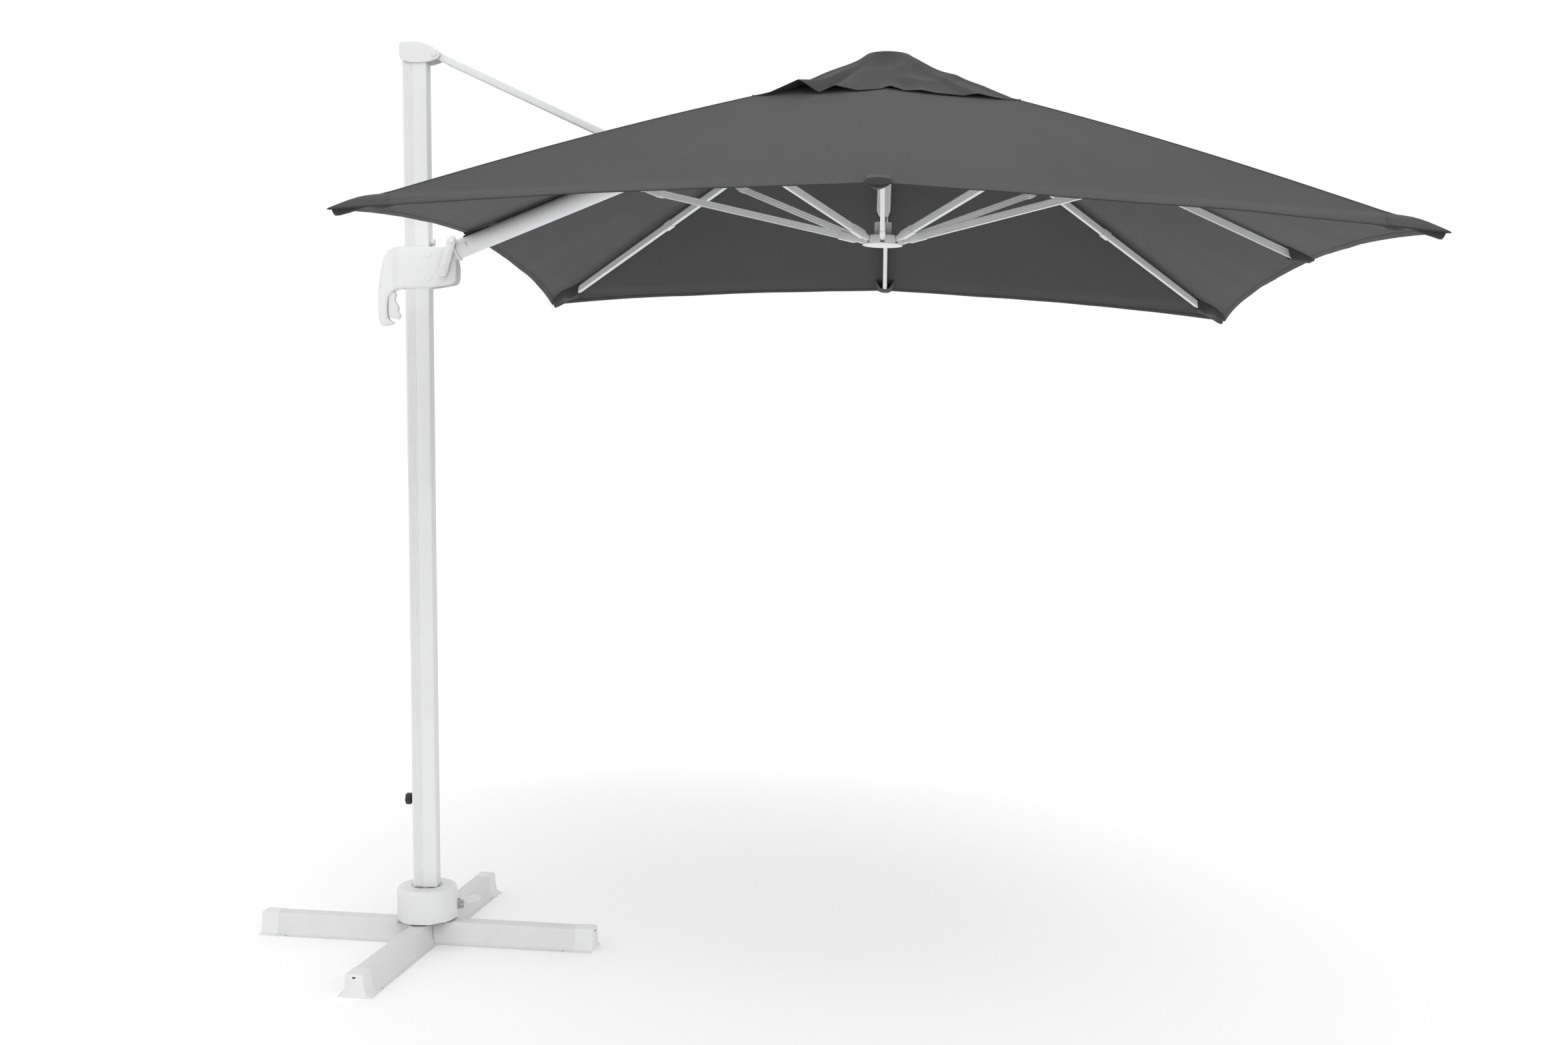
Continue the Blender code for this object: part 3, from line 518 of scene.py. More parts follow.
def petal(name):
    az = AZ[name]
    length = run_of(az)
    ts = [0, 0.005, 0.012, 0.025, 0.05] + [0.05 + 0.45 * i / 12 for i in range(1, 13)]
    ss = [-t for t in reversed(ts[1:])] + ts
    run = (run_of(0) + run_of(45)) / 2  # the same for all, so hems meet
    us = [i / 44 for i in range(43) if i / 44 < 1 - 0.03 / run]
    us += [1 - d / run for d in (0.022, 0.0195, 0.0185, 0.012, 0.0025, 0.0)]

    def point(s, u):
        return cloth(az, 1 if s >= 0 else -1, abs(s), u)

    def thick(s, u):
        return HEM_T if (1 - u) * run < HEM_WIDE else CLOTH_T

    def uv(s, u):
        return (s * SPAN_HEM * (0.2 + 0.8 * u), (1 - u) * run)

    o = shell("cloth_" + name, CLOTH, body_of(name), (point, ss, us, thick, uv), replaces=("canopy_" + name,))
    return o, length, area_of(point, ss, us)


def crumple(o, name):
    """Gives a piece of cloth a mesh of its own."""
    fold_of(name)
    hub_dir(tangent(AZ[name]))
    FH @ ridge(AZ[name], 0.5)
    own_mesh(o)


def patch(name, label, reach, out):
    """A second layer sewn on the tip, out metres above the cloth."""
    az = AZ[name]
    length = run_of(az)
    angles = [-90 + 180 * i / 16 for i in range(17)]
    radii = [0.02 + 0.98 * i / 7 for i in range(8)]

    def point(a, rho):
        side = 1 if a >= 0 else -1
        share = abs(a) / 90
        t = rho * reach * share / SPAN_HEM
        u = 1 - (rho * 1.22 * reach * (1 - share) + 0.001) / length
        p = cloth(az, side, t, u)
        return p + out * EZ

    o = shell(f"{label}_{name}", CLOTH, body_of(name), (
        point, angles, radii, lambda a, r: 0.0005, lambda a, r: (r * reach * D(a), (1 - r) * reach + 0.0095)))
    crumple(o, name)
    return o


def welt(name):
    """The flat seam over a corner rib."""
    az = AZ[name]
    length = run_of(az)
    us = [i / 40 for i in range(41)]
    ss = [-0.0075, -0.0065, -0.003, 0.003, 0.0065, 0.0075]

    def point(s, u):
        p = cloth(az, 1 if s >= 0 else -1, abs(s) / SPAN_HEM / (0.15 + 0.85 * u), u)
        return p + (0.0013 if abs(s) < 0.0068 else 0.0003) * EZ

    o = shell("seam_" + name, CLOTH, "rib_" + name, (
        point, ss, us, lambda s, u: 0.0006, lambda s, u: (u * length, 0.0125 + abs(s))))
    crumple(o, name)
    return o


def reach_of(name):
    """Length of a rib's tube from its pin."""
    corner = kind(AZ[name]) == "corner"
    g = G_CORNER if corner else G_MID
    return ((CORNER_R if corner else MID_R) - U_R) / math.cos(g) - 0.010


def pocket(name):
    """The sleeve sewn under the tip, for the rib's end: its sides lie on the
    cloth, and it hangs open at the mouth."""
    az = AZ[name]
    corner = kind(az) == "corner"
    length = run_of(az)
    mouth, end, wide = (0.165, 0.009, 0.036) if corner else (0.060, 0.004, 0.037)
    ts = [0, 0.08, 0.16, 0.25, 0.35, 0.45, 0.55, 0.65, 0.75, 0.84, 0.91, 0.95, 0.975, 0.99, 1.0]
    ss = [-1 + 2 * i / 28 for i in range(29)]

    def point(s, t):
        back = end + mouth * (1 - t)
        if corner:
            half = min(0.014 + (wide - 0.014) * ease(t, 0.0, 0.5), 0.85 * back)
            along = half * math.sqrt(2)
            deep = 0.0335 - 0.0105 * ease(t, 0.25, 0.65)
        else:
            back += 0.022 * abs(s) * (1 - t)
            along = wide * (1 - 0.25 * t)
            deep = 0.0295 - 0.0175 * ease(t, 0.0, 1.0)
        if t > 0.91:
            deep *= 1 - ((t - 0.91) / 0.09) ** 3
        p = cloth(az, 1 if s >= 0 else -1, along * abs(s) / SPAN_HEM, 1 - back / length)
        ruck = 0.0016 * noise.noise(Vector((back * 70, s * 2.6, az))) * (1 - abs(s) ** 4)
        p.z -= 0.0018 + deep * (1 - abs(s) ** 2.4) - ruck
        return p

    # the mid pockets take the darker sleeve cloth: painted shade
    o = shell("pocket_" + name, CLOTH if corner else SHADED_SLEEVE, "rib_" + name, (
        point, ss, ts, lambda s, t: 0.0007, lambda s, t: (s * wide, (1 - t) * mouth + 0.02)), sharp=55)
    hub_dir(tangent(az))
    FH @ ridge(az, 1)
    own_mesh(o)
    return o


def edge_patch(name):
    """The trapezoid sewn over the rib's end at the middle of an edge. The end
    pushes it out."""
    az = AZ[name]
    length = run_of(az)
    high = 0.070

    def point(s, v):
        w = 0.034 - 0.006 * v
        p = cloth(az, 1 if s >= 0 else -1, abs(s) * w / SPAN_HEM, 1 - (v * high + 0.0005) / length)
        across = min(1, (1 - abs(s)) / 0.16) * (1 - 0.25 * s * s)
        bulge = 0.0100 * across * (1 - v) ** 1.5 * min(1, 0.35 + v * 8)
        tab = (1 - abs(s) ** 2) * max(0, 1 - v * 14)
        return p + (0.0012 + bulge - 0.010 * tab) * EZ + 0.003 * tab * radial(az)

    side = [0.78, 0.84, 0.88, 0.92, 0.96, 1]
    ss = [-s for s in side[::-1]] + [-0.7 + 1.4 * i / 14 for i in range(15)] + side
    vs = [0, 0.015, 0.035, 0.06, 0.09, 0.14, 0.22, 0.34, 0.48, 0.62, 0.76, 0.88, 0.96, 1]
    o = shell("edge_patch_" + name, CLOTH, body_of(name), (
        point, ss, vs, lambda s, v: 0.0006, lambda s, v: (s * 0.034, v * high + 0.02)), sharp=28)
    crumple(o, name)
    return o


def boom_pocket():
    """The black sleeve and the webbing that hold the left edge on the boom."""
    t_edge = BOOM_C - (-LEFT_MID[0] + C_LOCAL.x) / math.cos(BOOM)
    rings = []
    out = BOOM_R + 0.0009
    b = Build(FT)
    angles = [-34 + 68 * i / 16 for i in range(17)]
    xs = [t_edge - 0.006, t_edge + 0.004, t_edge + 0.03, t_edge + 0.06, t_edge + 0.075, t_edge + 0.080]
    for x in xs:
        k = 0.0022 * math.sin((x - xs[0]) * 60)
        ring = [(x, (out + k + 0.002) * math.sin(D(a)), BOOM_H + (out + k + 0.002) * math.cos(D(a))) for a in angles]
        ring += [(x, out * math.sin(D(a)), BOOM_H + out * math.cos(D(a))) for a in reversed(angles)]
        rings.append(ring)
    b.loft(rings)
    web = []
    for i in range(60):
        x = t_edge + 0.10 + i * 0.0165
        lift = 0.0016 + 0.0022 * (noise.noise(Vector((x * 9, 3.3, 1))) + 0.5)
        web.append([(x, y, BOOM_H + math.sqrt(max(BOOM_R ** 2 - y * y, 0)) + z)
                    for y, z in ((-0.0115, lift), (0, lift), (0.0115, lift), (0.0115, lift + 0.0014),
                                 (0, lift + 0.0018), (-0.0115, lift + 0.0014))])
    b.loft(web)
    uvs = [(v.x, v.y + 0.2) for v in b.verts]
    return piece("boom_webbing", b.verts, b.faces, TRIM, "boom", sharp=40, uvs=uvs)


for _n in AROUND:
    _o, _l, _a = petal(_n)
    _extra = [pocket(_n) if _n != "left" else boom_pocket()]
    if kind(AZ[_n]) == "corner":
        _extra += [patch(_n, "tip_patch", 0.122, 0.0016), welt(_n)]
    else:
        _extra += [edge_patch(_n)]
    crumple(_o, _n)

# ---- vent cap --------------------------------------------------------------

CROWN_R, CROWN_Z = DISC_R + 0.001, DISC_TOP + 0.0013  # the cloth on the hub's disc
CAP_GAP = 0.0045  # between the cap's cloth and the canopy's


def under_cap(p):
    """Height of the canopy's own surface below a point near the hub."""
    a, b = max(abs(p.x), abs(p.y)), min(abs(p.x), abs(p.y))
    if a < 1e-6:
        return -1.0
    lift = U_Z + 0.003
    corner = lift + (RIB_OFF + RIB_D / 2) / math.cos(G_CORNER) - (a * math.sqrt(2) - U_R) * math.tan(G_CORNER)
    if p.x < 0 and abs(p.x) >= abs(p.y):
        mid = C_LOCAL.z - (a + C_LOCAL.x) * BOOM_SLOPE + BOOM_TOP
    else:
        mid = lift + (RIB_OFF + RIB_D / 2) / math.cos(G_MID) - (a - U_R) * math.tan(G_MID)
    return mid + (corner - mid) * b / a


# (place along a side, lift of the hem) at the ridges and valleys of its folds
FOLDS = {
    270: ((-0.345, 0), (-0.245, 0.040), (-0.19, 0), (-0.146, 0.018), (-0.08, 0), (-0.016, 0), (0.012, 0.010),
          (0.053, 0), (0.096, 0.005), (0.144, 0), (0.218, 0), (0.256, 0.010), (0.33, 0)),
    0: ((-0.33, 0), (-0.255, 0.014), (-0.17, 0), (-0.10, 0), (-0.05, 0.009), (0.02, 0), (0.12, 0), (0.19, 0.015),
        (0.28, 0)),
    90: ((-0.30, 0), (-0.21, 0.015), (-0.13, 0), (0.0, 0), (0.05, 0.010), (0.11, 0), (0.20, 0), (0.262, 0.015),
         (0.34, 0)),
    180: ((-0.24, 0), (-0.15, 0.013), (-0.07, 0), (0.06, 0), (0.12, 0.010), (0.19, 0), (0.27, 0.014), (0.34, 0)),
}


def fold_lift(side, along):
    """Height of the hem's folds, straight from ridge to valley."""
    line = ((-1.0, 0),) + FOLDS[side] + ((1.0, 0),)
    for (a, ha), (b, hb) in zip(line, line[1:]):
        if a <= along <= b:
            return ha + (hb - ha) * (along - a) / (b - a)
    return 0.0


def cap(az, s):
    """Point of the vent cap at an azimuth, from the crown (0) to its hem (1)."""
    c, q = math.cos(D(az)), math.sin(D(az))
    square = max(abs(c), abs(q))
    bend = min(abs(c), abs(q)) / square  # 0 at a side's middle, 1 at a corner
    edge = CAP_HALF / square * (1 - 0.020 * math.sin(math.pi * bend) ** 2)
    r = CROWN_R + s * (edge - CROWN_R)
    side = (round(az / 90) % 4) * 90
    along = CAP_HALF * math.tan(D(az - 90 * round(az / 90)))
    rise = fold_lift(side, along)
    rest = under_cap(Vector((edge * c, edge * q, 0))) + CAP_GAP
    z = CROWN_Z + (rest - CROWN_Z) * s - 0.0085 * math.sin(math.pi * s ** 0.8)
    p = Vector((r * c, r * q, z))
    soft = noise.noise(Vector((3.4 * c, 3.4 * q, 1.3 + 1.5 * s)))
    ridged = abs(noise.noise(Vector((5.2 * p.x, 5.2 * p.y, 2.2))))
    p.z += rise * s ** 1.9 + s * (1.0 - s) * (0.012 - 0.080 * ridged + 0.014 * soft)
    p.z += 0.004 * bend ** 3 * math.sin(math.pi * s)
    # the corner of the hem flicks up
    p.z += 0.006 * bend ** 12 * max(0.0, (s - 0.93) / 0.07) ** 2
    p += s ** 2 * 0.004 * soft * radial(az)
    p.z = max(p.z, under_cap(p) + CAP_GAP if s > 0.35 else -1)
    return p


def cap_sector(name):
    az = AZ[name]
    ss = [-22.5 + 45 * i / 40 for i in range(41)]
    ts = [i / 30 for i in range(29)] + [0.962, 0.967, 0.985, 1.0]

    def point(a, s):
        return cap(az + a, s)

    # the cap takes the darker cap cloth: painted shade
    o = shell("cap_cloth_" + name, CAP_CLOTH_SHADE, body_of(name), (
        point, ss, ts, lambda a, s: 0.0010 if s > 0.9645 else 0.0006,
        lambda a, s: (D(a) * (0.06 + 0.33 * s), (1 - s) * 0.36)), sharp=60)
    area = area_of(point, ss, ts)
    fold_of(name)
    hub_dir(tangent(az))
    FH @ (0.06 * radial(az))
    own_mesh(o)
    return o, area


for _n in AROUND:
    _o, _a = cap_sector(_n)
    _long = 0.50 if kind(AZ[_n]) == "corner" else 0.36
    _wide = 0.34
    round(min(_a, 0.99 * _wide * _long), 3)


def crown():
    """The cap's centre, over the hub's top disc, with the lining that hangs
    inside it and closes the crown when the frame is folded."""
    profile = [(0.0, CROWN_Z + 0.0004), (0.03, CROWN_Z + 0.0003), (0.064, CROWN_Z), (0.0695, CROWN_Z - 0.0018),
               (0.085, CROWN_Z - 0.020), (0.105, CROWN_Z - 0.034), (0.118, CROWN_Z - 0.048), (0.122, CROWN_Z - 0.062)]
    n = 48
    az = [360 * i / n for i in range(n + 1)]

    def point(a, k):
        r, z = profile[int(k)]
        w = 0.0 if k < 4 else 0.0015 * (k - 3) * math.sin(D(a) * 11)
        return Vector(((r + w) * math.cos(D(a)), (r + w) * math.sin(D(a)), z))

    verts, faces = [], []
    for sign in (0, 1):
        base = len(verts)
        verts.append(FH @ Vector((0, 0, profile[0][1] - 0.001 * sign)))
        for k in range(1, len(profile)):
            for a in az[:-1]:
                p = point(a, k)
                inward = Vector((p.x, p.y, 0)).normalized() * (0.001 if k > 3 else 0)
                verts.append(FH @ (p - sign * (inward + (0.001 if k <= 4 else 0) * EZ)))
        for i in range(n):
            faces.append((base, base + 1 + i, base + 1 + (i + 1) % n))
        for k in range(len(profile) - 2):
            for i in range(n):
                a = base + 1 + k * n
                faces.append((a + i, a + n + i, a + n + (i + 1) % n, a + (i + 1) % n))
    m = len(verts) // 2
    last = 1 + (len(profile) - 2) * n
    for i in range(n):
        a, b = last + i, last + (i + 1) % n
        faces.append((a, m + a, m + b, b))
    uvs = [(v.x, v.y + 0.3) for v in verts]
    # the crown takes the darker cap cloth: painted shade
    o = piece("cap_crown", verts, faces, CAP_CLOTH_SHADE, "hub", sharp=60, uvs=uvs, replaces=("vent_cap",))
    return o


crown()

# ---- ribs, struts and hub ----------------------------------------------------


def grooved(w, d, grooves=(-0.0042, 0.0042), deep=0.0010, open_w=0.0011, z0=0.0, r=0.0016):
    """Outline of an extrusion, half-sizes w and d, with grooves along its sides."""
    side = []
    for g in grooves:
        side += [(w, g - open_w), (w - deep, g - open_w * 0.6), (w - deep, g + open_w * 0.6), (w, g + open_w)]
    right = [(w, -d + r)] + side + [(w, d - r), (w - r * 0.3, d - r * 0.3), (w - r, d)]
    left = [(-a, -b) for a, b in right]
    return [(a, b + z0) for a, b in right + left]


def eye(build, x, z, r, half, n=20):
    build.loft([[(x + r * math.cos(2 * math.pi * i / n), y, z + r * math.sin(2 * math.pi * i / n)) for i in range(n)]
                for y in (-half, half)])


def rib_pieces(name):
    at, reach = rib_frame(name), reach_of(name)
    body = "rib_" + name
    k = (pos(f"strut_{name}_fold") - pos(f"rib_{name}_fold")).length
    w = RIB_W / 2
    tube = Build(at)
    corner = kind(AZ[name]) == "corner"
    end = reach - (0.125 if corner else 0.052)
    tube.loft([on_x(grooved(w, RIB_D / 2, z0=RIB_OFF), x) for x in (0.050, end)])
    tube.piece("rib_bar_" + name, PAINT, body, sharp=30, replaces=("rib_" + name,))
    fit = Build(at)
    soft_bar(fit, [(0.0035, 0.0052, 0.0005, 0.0150, 0.002), (0.020, 0.0052, 0.0022, 0.0235, 0.002),
                   (0.034, 0.0056, 0.0046, 0.0268, 0.002), (0.036, w + 0.0010, 0.0036, 0.0280, 0.002),
                   (0.060, w + 0.0010, 0.0036, 0.0280, 0.002), (0.0615, w + 0.0002, 0.0046, 0.0272, 0.002)])
    eye(fit, 0.0, 0.0, 0.0075, 0.0052)
    # the sleeve at the strut's pin, with two cheeks under the tube
    hi, lo = RIB_OFF + RIB_D / 2, RIB_OFF - RIB_D / 2

    def sleeve(x, half, slope, thin, wide, low, high):
        soft_bar(fit, [(x + e, w + a, lo - b, hi + c, r) for e, a, b, c, r in (
            (-half, thin, thin, thin, 0.002), (slope - half, wide, low, high, 0.003),
            (half - slope, wide, low, high, 0.003), (half, thin, thin, thin, 0.002))])

    sleeve(k, 0.027, 0.0015, 0.0004, 0.0026, 0.0020, 0.0019)
    for s in (-1, 1):
        cheek = [(k - 0.017, lo + 0.001), (k - 0.0085, -0.0015), (k - 0.005, -0.0055), (k, -0.0075),
                 (k + 0.005, -0.0055), (k + 0.0085, -0.0015), (k + 0.017, lo + 0.001)]
        fit.loft([[(a, s * y, b) for a, b in cheek] for y in (0.0064, 0.0092)])
    eye(fit, k, 0.0, 0.0034, 0.0104)
    # the plug in the tube's end, and its flat tongue in the cloth's sleeve
    soft_bar(fit, [(end - 0.010, w + 0.0012, lo - 0.001, hi + 0.001, 0.002),
                   (end + 0.006, w + 0.0012, lo - 0.001, hi + 0.001, 0.002),
                   (end + 0.012, w, hi - 0.008, hi, 0.002), (reach - 0.010, w - 0.001, hi - 0.007, hi, 0.002)])
    if corner:
        # the ferrule where the rib's two lengths of tube meet
        sleeve(1.0 / math.cos(G_CORNER), 0.020, 0.002, 0.0006, 0.0030, 0.0026, 0.0018)
    fit.piece("rib_fittings_" + name, PLASTIC, body, sharp=35)


def strut_pieces(name):
    at, length = strut_frame(name)
    body = "strut_" + name
    bar = Build(at)
    bar.loft([on_x(grooved(0.0066, 0.0112), x) for x in (0.060, length - 0.072)])
    bar.piece("strut_bar_" + name, PAINT, body, sharp=30, replaces=("strut_" + name,))
    fit = Build(at)
    soft_bar(fit, [(0.003, 0.0050, -0.0046, 0.0046, 0.0015), (0.020, 0.0050, -0.0072, 0.0072, 0.002),
                   (0.040, 0.0054, -0.0106, 0.0106, 0.002), (0.048, 0.0078, -0.0124, 0.0124, 0.0025),
                   (0.068, 0.0078, -0.0124, 0.0124, 0.0025), (0.0695, 0.0068, -0.0114, 0.0114, 0.002)])
    eye(fit, 0.0, 0.0, 0.0050, 0.0050)
    e = length
    soft_bar(fit, [(e - 0.081, 0.0068, -0.0114, 0.0114, 0.002), (e - 0.079, 0.0082, -0.0130, 0.0130, 0.003),
                   (e - 0.034, 0.0082, -0.0130, 0.0130, 0.003), (e - 0.026, 0.0054, -0.0098, 0.0098, 0.002),
                   (e - 0.003, 0.0050, -0.0050, 0.0050, 0.0015)])
    eye(fit, e, 0.0, 0.0052, 0.0050)
    fit.piece("strut_fittings_" + name, PLASTIC, body, sharp=35)


for _n in RIBS:
    rib_pieces(_n)
for _n in AROUND:
    strut_pieces(_n)


# ---- mast --------------------------------------------------------------------


def mast_outline():
    """Rounded 75 x 50 mm profile with six fine grooves near one edge, front and back."""
    r, n = 0.0052, 6
    first, pitch, half_wide, half_floor, deep = 0.0085, 0.0046, 0.0011, 0.0006, 0.0011
    front = [(-MAST_X + r, -MAST_Y)]
    for i in range(6):
        x = -MAST_X + first + pitch * i
        front += [(x - half_wide, -MAST_Y), (x - half_floor, -MAST_Y + deep), (x + half_floor, -MAST_Y + deep),
                  (x + half_wide, -MAST_Y)]
    half = front + arc((MAST_X - r, -MAST_Y + r), r, -90, 0, n)
    # the back half mirrors the front, so the grooves stay on the same edge
    back = [(x, -y) for x, y in reversed(half)]
    corner = arc((-MAST_X + r, -MAST_Y + r), r, 180, 270, n)[:-1]
    left = [(x, -y) for x, y in reversed(corner)]
    return half + back + left + corner


_lo, _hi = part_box("mast_tube")
_b = Build()
_b.loft([on_z(mast_outline(), z) for z in (_lo.z - 0.0040, _hi.z)])
_b.piece("mast_profile", PAINT, "mast", sharp=28, replaces=("mast_tube",))

# ---- slider ------------------------------------------------------------------
# places in X and Z, close to the outline in the part's source
HOUSING = [
    (-0.0650, 2.1462), (-0.0300, 2.1470), (0.0200, 2.1460), (0.0600, 2.1440), (0.0860, 2.1434), (0.0960, 2.1405),
    (0.1120, 2.1200), (0.1218, 2.0953), (0.1218, 2.0600), (0.1205, 2.0440), (0.1125, 2.0333), (0.1000, 2.0301),
    (0.0440, 2.0208), (0.0000, 2.0203), (-0.0590, 2.0210), (-0.0700, 2.0170), (-0.0880, 2.0050), (-0.0960, 1.9850),
    (-0.0975, 1.9400), (-0.0930, 1.9250), (-0.0743, 1.9169), (-0.0961, 1.9085), (-0.1117, 1.9067), (-0.1200, 1.9130),
    (-0.1230, 1.9250), (-0.1241, 1.9526), (-0.1248, 1.9898), (-0.1226, 2.0302), (-0.1148, 2.0767), (-0.1055, 2.1139),
    (-0.0940, 2.1330), (-0.0810, 2.1425),
]


def edge_distance(p, line):
    best = 1e9
    for a, b in zip(line, line[1:] + line[:1]):
        ab, ap = (b[0] - a[0], b[1] - a[1]), (p[0] - a[0], p[1] - a[1])
        k = ab[0] ** 2 + ab[1] ** 2
        t = min(1, max(0, (ap[0] * ab[0] + ap[1] * ab[1]) / k)) if k else 0
        best = min(best, math.hypot(ap[0] - t * ab[0], ap[1] - t * ab[1]))
    return best


def inside(p, line):
    hit = False
    for a, b in zip(line, line[1:] + line[:1]):
        if (a[1] > p[1]) != (b[1] > p[1]) and p[0] < a[0] + (p[1] - a[1]) / (b[1] - a[1]) * (b[0] - a[0]):
            hit = not hit
    return hit


def slab(build, line, front, back, grid=0.0045, offsets=(0.0007, 0.0018, 0.0034, 0.0055, 0.0080)):
    """A plate over an outline in X and Z. front and back give Y from x, z and
    the distance to the edge."""
    pts, dist = [tuple(p) for p in line], [0.0] * len(line)
    n = len(line)
    area = sum(a[0] * b[1] - b[0] * a[1] for a, b in zip(line, line[1:] + line[:1]))
    turn = 1 if area > 0 else -1
    for d in offsets:
        for i in range(n):
            a, b = line[i - 1], line[(i + 1) % n]
            tx, tz = b[0] - a[0], b[1] - a[1]
            k = math.hypot(tx, tz)
            if k < 1e-9 or (d > 0.003 and i % 2):
                continue
            p = (line[i][0] - turn * tz / k * d, line[i][1] + turn * tx / k * d)
            e = edge_distance(p, line)
            if e > 0.9 * d and inside(p, line):
                pts.append(p)
                dist.append(e)
    xs, zs = [p[0] for p in line], [p[1] for p in line]
    for i in range(int((max(xs) - min(xs)) / grid) + 1):
        for j in range(int((max(zs) - min(zs)) / grid) + 1):
            p = (min(xs) + (i + 0.5 * (j % 2)) * grid, min(zs) + j * grid)
            if inside(p, line):
                e = edge_distance(p, line)
                if e > offsets[-1] + grid * 0.45:
                    pts.append(p)
                    dist.append(e)
    border = [(i, (i + 1) % n) for i in range(n)]
    made = geometry.delaunay_2d_cdt([Vector(p) for p in pts], border, [list(range(n))], 1, 1e-7)
    verts2, tris, origin = made[0], made[2], made[3]
    m = len(verts2)
    d2 = [dist[o[0]] if o else edge_distance(v, line) for v, o in zip(verts2, origin)]
    verts = [(v.x, front(v.x, v.y, d), v.y) for v, d in zip(verts2, d2)]
    verts += [(v.x, back(v.x, v.y, d), v.y) for v, d in zip(verts2, d2)]
    faces = [tuple(f) for f in tris] + [tuple(i + m for i in reversed(f)) for f in tris]
    count = {}
    for f in tris:
        for a, b in zip(f, list(f[1:]) + [f[0]]):
            count[(a, b)] = 1
    for a, b in list(count):
        if (b, a) not in count:
            faces.append((b, a, a + m, b + m))
    return build.add(verts, faces)


def rim(d, r):
    """Depth lost to an edge of radius r at a distance d from it."""
    return r - math.sqrt(max(0, r * r - (r - min(d, r)) ** 2))


def lathe_y(build, x, z, y, sign, profile, n=32):
    """A turned part on the front (-1) or the back (1), out from y."""
    at = Matrix.Translation((x, y, z)) @ Matrix.Rotation(D(90 * sign), 4, "X")
    return build.lathe([(r, -h) for r, h in profile], n, z_axis=at)


BOLTS = ((0.0362, 2.1217), (0.0377, 2.0519))
DIMPLES = ((-0.0557, 2.1232), (-0.0557, 2.0457))
# the small screws: X, Z, radius and distance from the middle plane
SCREWS = ((-0.1139, 2.0272, 0.0034, 0.0166), (-0.1118, 1.9150, 0.0030, 0.0145), (0.1050, 2.0700, 0.0050, 0.0306))


def half_housing(name, sign):
    line = smooth_line(HOUSING, 2)

    def outer(x, z, d):
        y = 0.0160 + 0.0148 * ease(x, -0.082, -0.052) - rim(d, 0.0062 if x > -0.05 else 0.0052)
        for cx, cz in DIMPLES:
            y -= 0.0022 * math.exp(-((x - cx) ** 2 + (z - cz) ** 2) / 0.0065 ** 2)
        for cx, cz in BOLTS:
            q = math.hypot(x - cx, z - cz)
            y += 0.0010 * math.exp(-(q / 0.017) ** 4)
        y += 0.0012 * math.exp(-((x + 0.105) / 0.02) ** 2)
        return sign * y

    def inner(x, z, d):
        if x > -0.0386:
            return sign * 0.0256
        return sign * (0.0001 + 0.0008 * (d < 0.0006))

    b = Build()
    slab(b, line, outer, inner)
    b.piece("housing_" + name, PLASTIC, "slider", sharp=48, replaces=("slider_" + name,))
    trim = Build()
    for cx, cz in BOLTS:
        lathe_y(trim, cx, cz, sign * 0.0300, sign, [(AX, 0.0), (0.0115, 0.0), (0.0115, 0.0018), (0.0102, 0.0032),
                                                    (0.0068, 0.0039), (AX, 0.0042)])
    for cx, cz, r, y in SCREWS:
        lathe_y(trim, cx, cz, sign * y, sign, [(AX, -0.001), (r, -0.001), (r, 0.0007), (r * 0.7, 0.0012),
                                               (r * 0.62, 0.0004), (AX, 0.0004)], 20)
    trim.piece("bolts_" + name, PLASTIC, "slider", sharp=40)


half_housing("front", -1)
half_housing("back", 1)


# ---- mast cap, tie strut, lever ----------------------------------------------
P, Q = pos("canopy_fold"), pos("tie_to_boom")
CAP_LINE = ([(-0.0445, 2.6958), (0.0440, 2.6958)] + arc((P.x, P.z), 0.0185, -82, 22, 8)
            + [(0.0690, 2.7330), (0.0600, 2.7395), (0.0460, 2.7475), (0.0260, 2.7550), (0.0000, 2.7592),
               (-0.0240, 2.7585)]
            + arc((-0.0325, 2.7465), 0.0120, 92, 175, 7))


def mast_cap():
    b = Build()
    for sign in (-1, 1):
        slab(b, smooth_line(CAP_LINE, 2),
             lambda x, z, d, g=sign: g * (0.0308 - rim(d, 0.0036) * ease(z, 2.6965, 2.7005)),
             lambda x, z, d, g=sign: g * 0.0216)
    core = [(-0.0440, 2.6960), (0.0412, 2.6960), (0.0412, 2.7480), (0.0260, 2.7543), (0.0000, 2.7585),
            (-0.0240, 2.7578)] + arc((-0.0325, 2.7460), 0.0114, 92, 175, 7)
    slab(b, smooth_line(core, 2), lambda x, z, d: -0.0218, lambda x, z, d: 0.0218)
    for sign in (-1, 1):
        lathe_y(b, P.x, P.z, sign * 0.0300, sign, [(AX, 0.0), (0.0098, 0.0), (0.0098, 0.0016), (0.0088, 0.0030),
                                                   (AX, 0.0034)])
    b.piece("cap_shell", PLASTIC, "mast", sharp=40, replaces=("mast_cap", "cap_pin"))


